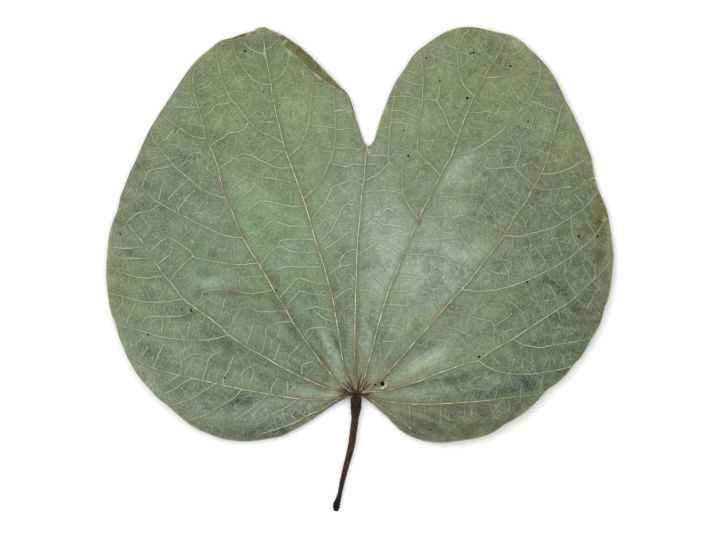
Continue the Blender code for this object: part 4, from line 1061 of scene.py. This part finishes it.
class Nodes:
    """A material in the making: short calls that add shader nodes, and the colour laid down so far."""

    def __init__(self, name, colour):
        self.material = bpy.data.materials.new(name)
        self.material.use_nodes = True
        self.tree = self.material.node_tree
        self.place = self.node("TexCoord", "Object", {})
        self.fields = {}
        self.colour = colour

    def put(self, socket, value):
        if isinstance(value, bpy.types.NodeSocket):
            self.tree.links.new(value, socket)
        elif socket.type == "RGBA":
            socket.default_value = (*value, 1)
        else:
            socket.default_value = value

    def node(self, kind, output, inputs, **settings):
        """Adds a node with these inputs and settings, and gives its output."""
        made = self.tree.nodes.new("ShaderNode" + kind)
        for key, value in settings.items():
            setattr(made, key, value)
        for key, value in inputs.items():
            self.put(made.inputs[key], value)
        return made.outputs[output]

    def field(self, name):
        if name not in self.fields:
            self.fields[name] = self.node("Attribute", "Fac", {}, attribute_name=name)
        return self.fields[name]

    def math(self, operation, *values):
        return self.node("Math", 0, dict(enumerate(values)), operation=operation)

    def times(self, *values):
        result = values[0]
        for value in values[1:]:
            result = self.math("MULTIPLY", result, value)
        return result

    def sum(self, *values):
        result = values[0]
        for value in values[1:]:
            result = self.math("ADD", result, value)
        return result

    def swing(self, value, size):
        """A value that swings round a half, as a swing of this size round nothing."""
        return self.math("MULTIPLY_ADD", value, size, -size / 2)

    def spread(self, value, low, high, start=0.0, end=1.0):
        """A value's stretch from low to high, smoothed, as start to end."""
        inputs = {"Value": value, "From Min": low, "From Max": high, "To Min": start, "To Max": end}
        return self.node("MapRange", "Result", inputs, interpolation_type="SMOOTHSTEP")

    def fade(self, value, low, high, start=1.0):
        """The same as a fall from start to nothing."""
        return self.spread(value, low, high, start, 0.0)

    def mix(self, amount, a, b):
        return self.node("Mix", 2, {0: amount, 6: a, 7: b}, data_type="RGBA")

    def lay(self, amount, over):
        """Lays a colour over the one so far."""
        self.colour = self.mix(amount, self.colour, over)

    def vector(self, x, y, z=0.0):
        return self.node("CombineXYZ", 0, {"X": x, "Y": y, "Z": z})

    def noise(self, size, detail=3.0, rough=0.55, place=None, distortion=0.0):
        inputs = {"Scale": 1 / size, "Detail": detail, "Roughness": rough, "Distortion": distortion}
        return self.node("TexNoise", "Fac", {"Vector": place or self.place, **inputs})

    def streaks(self, detail, rough, outwards, around, arc="around"):
        """Noise that follows the ribs: how many bends to each unit of the fields outwards and around."""
        along, across = self.times(self.field("outwards"), outwards), self.times(self.field(arc), around)
        return self.noise(1, detail, rough, self.vector(along, across))

    def cell_edges(self, place):
        inputs = {"Vector": place, "Scale": 1.0, "Randomness": 0.9}
        return self.node("TexVoronoi", "Distance", inputs, feature="DISTANCE_TO_EDGE")

    def finish(self, roughness, gloss, height=None, depth=0.1 * MM, strength=0.6):
        """The material with its colour so far, embossed by a height."""
        values = {"Base Color": self.colour, "Roughness": roughness, "Specular IOR Level": gloss}
        if height is not None:
            relief = {"Height": height, "Distance": depth, "Strength": strength}
            values["Normal"] = self.node("Bump", "Normal", relief)
        for key, value in values.items():
            self.put(self.tree.nodes["Principled BSDF"].inputs[key], value)
        return self.material


def winding_lines(m, length, width, line):
    """Thin lines that wind from rib to rib, with bends this far apart outwards and around, in millimetres."""
    off = m.math("ABSOLUTE", m.math("SUBTRACT", m.streaks(2, 0.5, 1 / length, 1 / width), 0.5))
    return m.fade(off, 0.3 * line, line)


def vein_net(m, length, width, line, seed):
    """Lines of the finer veins: cells of this length outwards and width around, in millimetres."""
    wobble = m.swing(m.noise(2.0 * MM, 2), 0.10 * min(length, width))
    outwards = m.math("DIVIDE", m.sum(m.field("outwards"), wobble), length)
    around = m.math("DIVIDE", m.sum(m.field("around"), wobble), width)
    edges = m.cell_edges(m.vector(outwards, around, seed))
    half = line / min(length, width)
    return m.fade(edges, 0.35 * half, 1.3 * half)


def underside_material():
    """The ribbed face: grey green under a patchy pale bloom, with tan ribs and a fine paler net."""
    m = Nodes("leaf_underside", BASE_TONE)
    mottle, blotch, grain = m.noise(3.6 * MM, 3, 0.5), m.noise(1.5 * MM, 3, 0.6), m.noise(0.42 * MM, 2, 0.6)
    stroke = m.streaks(2, 0.6, 3.8, 0.95)
    near_base = m.fade(m.field("outwards"), 3.0, 22.0)
    yellow = lay_ground(m, mottle, blotch, grain, stroke)
    lay_bloom(m, yellow)
    net = lay_net(m)
    lay_marks(m, blotch, grain)
    lay_flank_shade(m, mottle, near_base)
    lay_branches(m)
    lay_ribs(m, near_base)
    lay_base(m, grain)
    lay_rim(m)
    height = m.sum(*net, m.times(grain, 0.7), m.times(mottle, 1.2), m.times(stroke, 0.5))
    return m.finish(0.7, 0.25, height)


def lay_ground(m, mottle, blotch, grain, stroke):
    """The sheet's grey green, paler and darker in soft patches of tone, painted shade and painted highlights,
    with rays from the base and fine strokes; gives how yellow it is.
    """
    rays = m.streaks(3, 0.6, 0.05, 9.0, "heading")
    light = m.sum(
        # the patches paint shade and highlights here, along with paler and darker tone
        0.97, m.times(m.field("painted_light_and_tone"), 2.3),
        m.swing(m.noise(11 * MM, 3), 0.70), m.swing(mottle, 0.78), m.swing(blotch, 0.15),
        m.spread(grain, 0.43, 0.75, -0.07, 0.25), m.spread(stroke, 0.42, 0.72, -0.13, 0.37),
        m.times(m.swing(rays, 1.9), m.spread(m.field("outwards"), 10.0, 42.0, 1.0, 0.12)),
    )
    yellow = m.sum(m.times(m.field("yellower"), 1.2), m.swing(m.noise(6 * MM, 4, 0.6), 0.34))
    green = m.sum(m.times(m.field("greener"), 1.3), m.swing(m.noise(8 * MM, 4, 0.6), 0.22))
    shifts = ((green, -1.0), (green, 0.30), (yellow, -1.0))
    m.colour = m.node("CombineColor", 0, {
        channel: m.times(light, m.sum(1.0, m.times(*shift)), base)
        for channel, base, shift in zip(("Red", "Green", "Blue"), m.colour, shifts)
    })
    return yellow


def lay_bloom(m, yellow):
    """Pale bloom where the sheet is least yellow, as a film with crisper wisps; and olive patches."""
    film = m.spread(m.noise(2.6 * MM, 6, 0.75, distortion=0.8), 0.46, 0.64)
    m.lay(m.times(m.fade(yellow, -0.26, -0.02), film, 0.50), BLOOM_TONE)
    wisp = m.spread(m.noise(0.9 * MM, 4, 0.7, distortion=1.2), 0.53, 0.66)
    bloomed = m.sum(m.fade(yellow, -0.24, -0.02, 0.46), m.spread(m.field("painted_light_and_tone"), 0.04, 0.22, end=0.20))
    m.lay(m.times(wisp, bloomed), WISP_TONE)
    olive = m.times(m.spread(m.noise(3.0 * MM, 4, 0.65), 0.60, 0.74), m.spread(m.noise(17 * MM), 0.40, 0.60))
    m.lay(m.times(olive, 0.40), OLIVE_TONE)


def lay_net(m):
    """The finest veins and the net between them, as paler lines; gives the lines."""
    patch = m.spread(m.noise(5 * MM), 0.42, 0.62)
    net = (
        m.times(winding_lines(m, 0.45, 1.6, 0.030), m.spread(m.noise(3.2 * MM), 0.44, 0.60, end=0.16)),
        m.times(vein_net(m, 0.8, 1.3, 0.08, 5.0), m.spread(m.noise(2.4 * MM), 0.44, 0.62, end=0.16)),
        m.times(vein_net(m, 1.4, 2.2, 0.09, 0.0), m.spread(patch, 0.0, 1.0, end=0.17)),
    )
    for lines in net:
        m.lay(lines, NET_TONE)
    spurs = m.times(
        m.spread(m.field("spur"), 0.1, 0.7), m.spread(m.field("spur_tone"), 0.0, 1.0, 0.18, 0.64),
        m.spread(m.noise(2.6 * MM, 3), 0.36, 0.56, 0.3, 1.0),
    )
    m.lay(spurs, SPUR_TONE)
    return *net, spurs


def lay_marks(m, blotch, grain):
    """Stains and rust, and the olive other face where the margin is turned over."""
    m.lay(m.times(m.field("stain"), m.spread(blotch, 0.3, 0.6, 0.75, 1.0)), STAIN_TONE)
    m.lay(m.times(m.field("rust"), m.spread(grain, 0.3, 0.6, 0.6, 0.95)), RUST_TONE)
    turned = m.mix(m.spread(m.sum(grain, blotch), 0.80, 1.20), TURNED_DARK_TONE, TURNED_TONE)
    edge = m.fade(m.sum(m.field("margin"), m.swing(blotch, 1.6)), 0.1, 0.8, 0.7)
    turned = m.mix(edge, turned, TURNED_EDGE_TONE)
    turned = m.mix(m.times(m.field("rust"), 0.55), turned, RUST_TONE)
    m.lay(m.times(m.spread(m.field("turned"), 0.3, 0.9), 0.92), turned)


def lay_flank_shade(m, mottle, near_base):
    """Painted shade in the dips beside the veins, browner near the base: from and to how many mm, and how the
    mottle breaks it up.
    """
    rib_flank_shade = m.mix(near_base, FLANK_SHADE_TONE, FLANK_BASE_SHADE_TONE)
    for off, inner, outer, low, high, least, most, flank in (
        ("rib_off", 0.15, 1.5, 0.30, 0.70, 0.15, 0.70, rib_flank_shade),
        ("branch_off", 0.10, 1.6, 0.35, 0.65, 0.25, 0.60, FLANK_SHADE_TONE),
        ("ladder_off", 0.10, 0.9, 0.35, 0.65, 0.15, 0.45, FLANK_SHADE_TONE),
    ):
        m.lay(m.times(m.fade(m.field(off), inner, outer), m.spread(mottle, low, high, least, most)), flank)


def lay_branches(m):
    """The pale ladder veins, fainter towards the right, and the branches, tan in places."""
    seen = m.spread(m.noise(4 * MM, 3), 0.36, 0.58, 0.50, 1.0)
    seen = m.times(seen, m.spread(m.field("around"), 12.0, 36.0, 1.0, 0.55))
    m.lay(m.times(m.spread(m.field("ladder"), 0.35, 0.70), seen), LADDER_TONE)
    branch_tone = m.mix(m.spread(m.noise(7 * MM, 3), 0.50, 0.62), BRANCH_TONE, BRANCH_TAN_TONE)
    seen = m.spread(m.noise(3 * MM, 3), 0.36, 0.56, 0.60, 1.0)
    m.lay(m.times(m.spread(m.field("branch"), 0.40, 0.72), seen), branch_tone)


def lay_ribs(m, near_base):
    """Ribs with brown feet, partly painted shade along their sides, creamier away from the base and on the
    midrib, tanner towards the right.

    The turned strips' pale inner edges break up along their length as the ribs' crests do.
    """
    rib, around, along = m.field("rib"), m.field("around"), m.noise(2.2 * MM, 5, 0.7)
    # the ribs' feet: brown, and painted shade along both sides of each rib
    rib_feet_brown_and_shade = m.mix(near_base, RIB_EDGE_BROWN_AND_SHADE_TONE, RIB_EDGE_BASE_BROWN_AND_SHADE_TONE)
    m.lay(m.times(m.spread(rib, 0.02, 0.35), m.spread(near_base, 0.0, 1.0, 0.45, 0.9)), rib_feet_brown_and_shade)
    midrib = m.times(m.spread(around, -9.0, -4.0), m.fade(around, 4.0, 9.0))
    midrib = m.times(m.spread(m.field("outwards"), 14.0, 26.0), midrib)
    right = m.spread(around, 20.0, 70.0, end=-0.40)
    cream = m.sum(m.spread(along, 0.42, 0.62), m.times(near_base, -0.45), right, m.times(midrib, 0.45))
    crest_tone = m.mix(cream, m.mix(near_base, RIB_TAN_TONE, RIB_TAN_BASE_TONE), RIB_CREAM_TONE)
    m.lay(m.times(m.spread(rib, 0.50, 0.80), m.spread(along, 0.32, 0.55, 0.45, 1.0)), crest_tone)
    inner = m.times(m.fade(m.field("inner_edge"), 0.05, 0.20), m.spread(along, 0.44, 0.56, 0.15, 0.7))
    m.lay(m.times(inner, m.spread(around, 20.0, 60.0, 1.0, 0.4)), RIM_PALE_TONE)


def lay_base(m, grain):
    """The dark base under the stalk, and the fan of fibres over it."""
    outwards = m.field("outwards")
    streaks = m.streaks(2, 0.6, 0.25, 16.0, "heading")
    m.lay(m.fade(m.sum(outwards, m.swing(streaks, 4.0)), 1.7, 3.8, 0.88), DARK_BASE_TONE)
    fibre_tone = m.mix(m.field("fibre_tone"), FIBRE_BROWN_TONE, FIBRE_TAN_TONE)
    m.lay(m.times(m.spread(m.field("fibre"), 0.1, 0.6), 0.9), fibre_tone)
    m.lay(m.fade(m.sum(outwards, m.swing(grain, 1.6)), 1.5, 2.6, 0.95), DARK_BASE_TONE)


def lay_rim(m):
    """The margin's thin edge, dark with pale stretches, and the cream flecks."""
    rim_tone = m.mix(m.spread(m.noise(5 * MM, 3), 0.38, 0.54), RIM_DARK_TONE, RIM_PALE_TONE)
    m.lay(m.fade(m.field("margin"), 0.10, 0.42, 0.60), rim_tone)
    m.lay(m.field("pale"), PALE_TONE)


def face_material():
    """The leaf's other face, which lies on the table: smooth, darker and browner, with sunken veins."""
    m = Nodes("leaf_face", FACE_OLIVE_TONE)
    speckle = m.noise(1.6 * MM, 4, 0.6)
    m.lay(m.spread(m.noise(12 * MM, 4), 0.3, 0.7), FACE_BROWN_TONE)
    m.lay(m.times(m.spread(speckle, 0.5, 0.75), 0.5), FACE_SPECKLE_TONE)
    vein = m.math("MAXIMUM", m.field("rib"), m.times(m.field("branch"), 0.7))
    m.lay(m.times(m.spread(vein, 0.1, 0.7), 0.7), FACE_VEIN_TONE)
    return m.finish(0.5, 0.4, m.sum(m.times(vein_net(m, 1.4, 1.8, 0.14, 0.0), -0.6), speckle))


def ring_edges(ring, sides):
    """The vertices along each edge of one ring, in a piece that is built of rings with so many sides."""
    return [(ring * sides + j, ring * sides + (j + 1) % sides) for j in range(sides)]


def make_stalk(middle):
    """The stalk: a wrinkled round rod, swollen at both ends, its upper end sunk into the blade's base."""
    stations = catmull_rom(in_metres(STALK), STALK_SPACING)
    line, across = stations[:, :2], -left_of(stations[:, :2])
    along = np.linspace(0, 1, len(stations))
    top_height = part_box("petiole")[1].z - STALK_TOP_RADIUS
    height = top_height + smoothstep(along) * (STALK_END_HEIGHT - top_height)
    turn, down = np.meshgrid(np.linspace(0, 2 * math.pi, STALK_SIDES, endpoint=False), along)
    folds = (rise * np.sin(count * turn + twist * down + phase) for rise, count, twist, phase in STALK_FOLDS)
    knuckles = KNUCKLE_RISE * np.sin(KNUCKLE_TURNS * down + np.sin(3 * turn)) * (down < KNUCKLE_END)
    radius = stations[:, 2:] * (1 + sum(folds) + knuckles)
    flat = (line - middle)[:, None] + across[:, None] * (radius * np.cos(turn))[..., None]
    vertices = np.dstack([flat, height[:, None] + radius * np.sin(turn)]).reshape(-1, 3).tolist()
    faces = []
    for ring in range(len(stations) - 1):
        faces += [(a, a + STALK_SIDES, b + STALK_SIDES, b) for a, b in ring_edges(ring, STALK_SIDES)]
    for end, before in ((0, 1), (len(stations) - 1, len(stations) - 2)):
        ahead = line[end] - line[before]
        tip = line[end] - middle + STALK_TIP * stations[end, 2] * ahead / np.linalg.norm(ahead)
        edges = ring_edges(end, STALK_SIDES)
        faces += [(a, b, len(vertices)) if end == 0 else (b, a, len(vertices)) for a, b in edges]
        vertices.append((*tip, height[end]))
    fields = {"down": [*down.ravel(), 0, 1], "round": [*np.cos(turn).ravel(), 0, 0]}
    return add_mesh("leaf_stalk", vertices, faces, [stalk_material()], fields)


def stalk_material():
    """Dark brown bark, greyer on the upper swelling and nearly black at the lower one."""
    m = Nodes("stalk", BARK_DARK_TONE)
    down = m.field("down")
    speckle = m.noise(0.35 * MM, 3, 0.6)
    streak = m.noise(1, 4, 0.6, m.vector(m.times(m.field("round"), 1.6), m.times(down, 16.0)))
    m.lay(m.spread(streak, 0.35, 0.65), BARK_BROWN_TONE)
    m.lay(m.fade(down, 0.12, 0.24), m.mix(m.spread(streak, 0.40, 0.60), SEAT_DARK_TONE, SEAT_GREY_TONE))
    m.lay(m.spread(down, 0.56, 0.84, end=0.75), LOWER_BARK_TONE)
    m.lay(m.spread(down, 0.86, 0.93), STALK_END_TONE)
    m.lay(m.times(m.spread(speckle, 0.58, 0.72), 0.25), BARK_SPECKLE_TONE)
    return m.finish(0.7, 0.12, m.sum(streak, m.times(speckle, 0.5)), 0.12 * MM, 0.9)


def dome(place, radii, turn, rise, depth, wobble):
    """A low closed dome on an oval foot: its vertices and faces."""
    sides = len(wobble)
    vertices, faces = [], []
    for ring in range(SPECK_RINGS):
        slope = math.radians(90 * ring / SPECK_RINGS)
        for j in range(sides):
            around, reach = 2 * math.pi * j / sides, wobble[j] * math.cos(slope)
            x, y = rotate(radii[0] * reach * math.cos(around), radii[1] * reach * math.sin(around), turn)
            vertices.append((place[0] + x, place[1] + y, place[2] + rise * math.sin(slope)))
    for ring in range(SPECK_RINGS - 1):
        faces += [(a, b, b + sides, a + sides) for a, b in ring_edges(ring, sides)]
    top, under = len(vertices), len(vertices) + 1
    vertices += [(place[0], place[1], place[2] + rise), (place[0], place[1], place[2] - depth)]
    faces += [(a, b, top) for a, b in ring_edges(SPECK_RINGS - 1, sides)]
    faces += [(b, a, under) for a, b in ring_edges(0, sides)]
    return vertices, faces


def make_specks(middle, blade):
    """Small black dried spots, each a flat dome set into the surface."""
    surface = surface_heights(blade)
    random = np.random.default_rng(SEED)
    vertices, faces = [], []
    for x, y, radius in SPECKS:
        place = in_metres((x, y)) - middle
        size = radius * STEP * SPECK_SCALE
        radii = (size * random.uniform(*SPECK_WIDTH), size * random.uniform(*SPECK_BREADTH))
        wobble = 1 + SPECK_WOBBLE * random.standard_normal(SPECK_SIDES)
        foot, turn = (*place, surface(place) - SPECK_FOOT), random.uniform(0, math.pi)
        some, joined = dome(foot, radii, turn, SPECK_RISE * size + SPECK_FOOT, SPECK_DEPTH, wobble)
        faces += [tuple(k + len(vertices) for k in face) for face in joined]
        vertices += some
    return add_mesh("leaf_specks", vertices, faces, [speck_material()])


def speck_material():
    m = Nodes("speck_black", SPECK_BLACK_TONE)
    m.lay(m.spread(m.noise(0.3 * MM), 0.3, 0.7), SPECK_BROWN_TONE)
    return m.finish(0.8, 0.1)


def surface_heights(blade):
    """A function that gives the blade's upper height at a place."""
    upper = [vertex.co for vertex in blade.data.vertices[:len(blade.data.vertices) // 2]]
    tree = tree_of([(co.x, co.y) for co in upper])
    return lambda place: float(np.mean([upper[k].z for _, k, _ in tree.find_n((*place, 0), 3)]))


def make_table():
    corners = [(x * TABLE_HALF, y * TABLE_HALF, 0) for x, y in ((-1, -1), (1, -1), (1, 1), (-1, 1))]
    table = add_mesh("table", corners, [(0, 1, 2, 3)], [Nodes("table_white", TABLE_WHITE).finish(0.9, 0.1)])
    table.location.z = -TABLE_DROP


def make_light():
    """An even white room, and a large soft key from the upper left."""
    world = bpy.data.worlds.new("room")
    world.use_nodes = True
    background = world.node_tree.nodes["Background"]
    background.inputs["Color"].default_value = (1.0, 1.0, 1.0, 1)
    background.inputs["Strength"].default_value = ROOM_LEVEL
    bpy.context.scene.world = world
    key = bpy.data.lights.new("key", "AREA")
    key.shape = "DISK"
    key.size = KEY_SIZE
    key.energy = KEY_POWER
    key.color = KEY_COLOUR
    lamp = add_object("key", key)
    lamp.location = KEY_PLACE
    lamp.rotation_euler = (-Vector(KEY_PLACE)).to_track_quat("-Z", "Y").to_euler()


def make_camera():
    """Straight down, with 180 mm of the table across the picture."""
    camera = bpy.data.cameras.new("camera")
    camera.sensor_width = SENSOR_WIDTH
    camera.lens = SENSOR_WIDTH * CAMERA_HEIGHT / VIEW_WIDTH
    camera.clip_end = CAMERA_SEES
    eye = add_object("camera", camera)
    eye.location = (*VIEW_CENTRE, CAMERA_HEIGHT)
    bpy.context.scene.camera = eye
    bpy.context.scene.view_settings.view_transform = "Standard"


def main():
    low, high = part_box("blade")
    loop = outline()
    middle = (loop.min(axis=0) + loop.max(axis=0)) / 2 - np.array((low + high)[:2]) / 2
    blade = make_blade(middle)
    stalk = make_stalk(middle)
    specks = make_specks(middle, blade)
    for piece, slot in ((blade, "leaf_blade"), (stalk, "leaf_stalk"), (specks, "leaf_blade")):
        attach(piece, "root")
    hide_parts("blade")
    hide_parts("petiole")
    make_table()
    make_light()
    make_camera()


main()
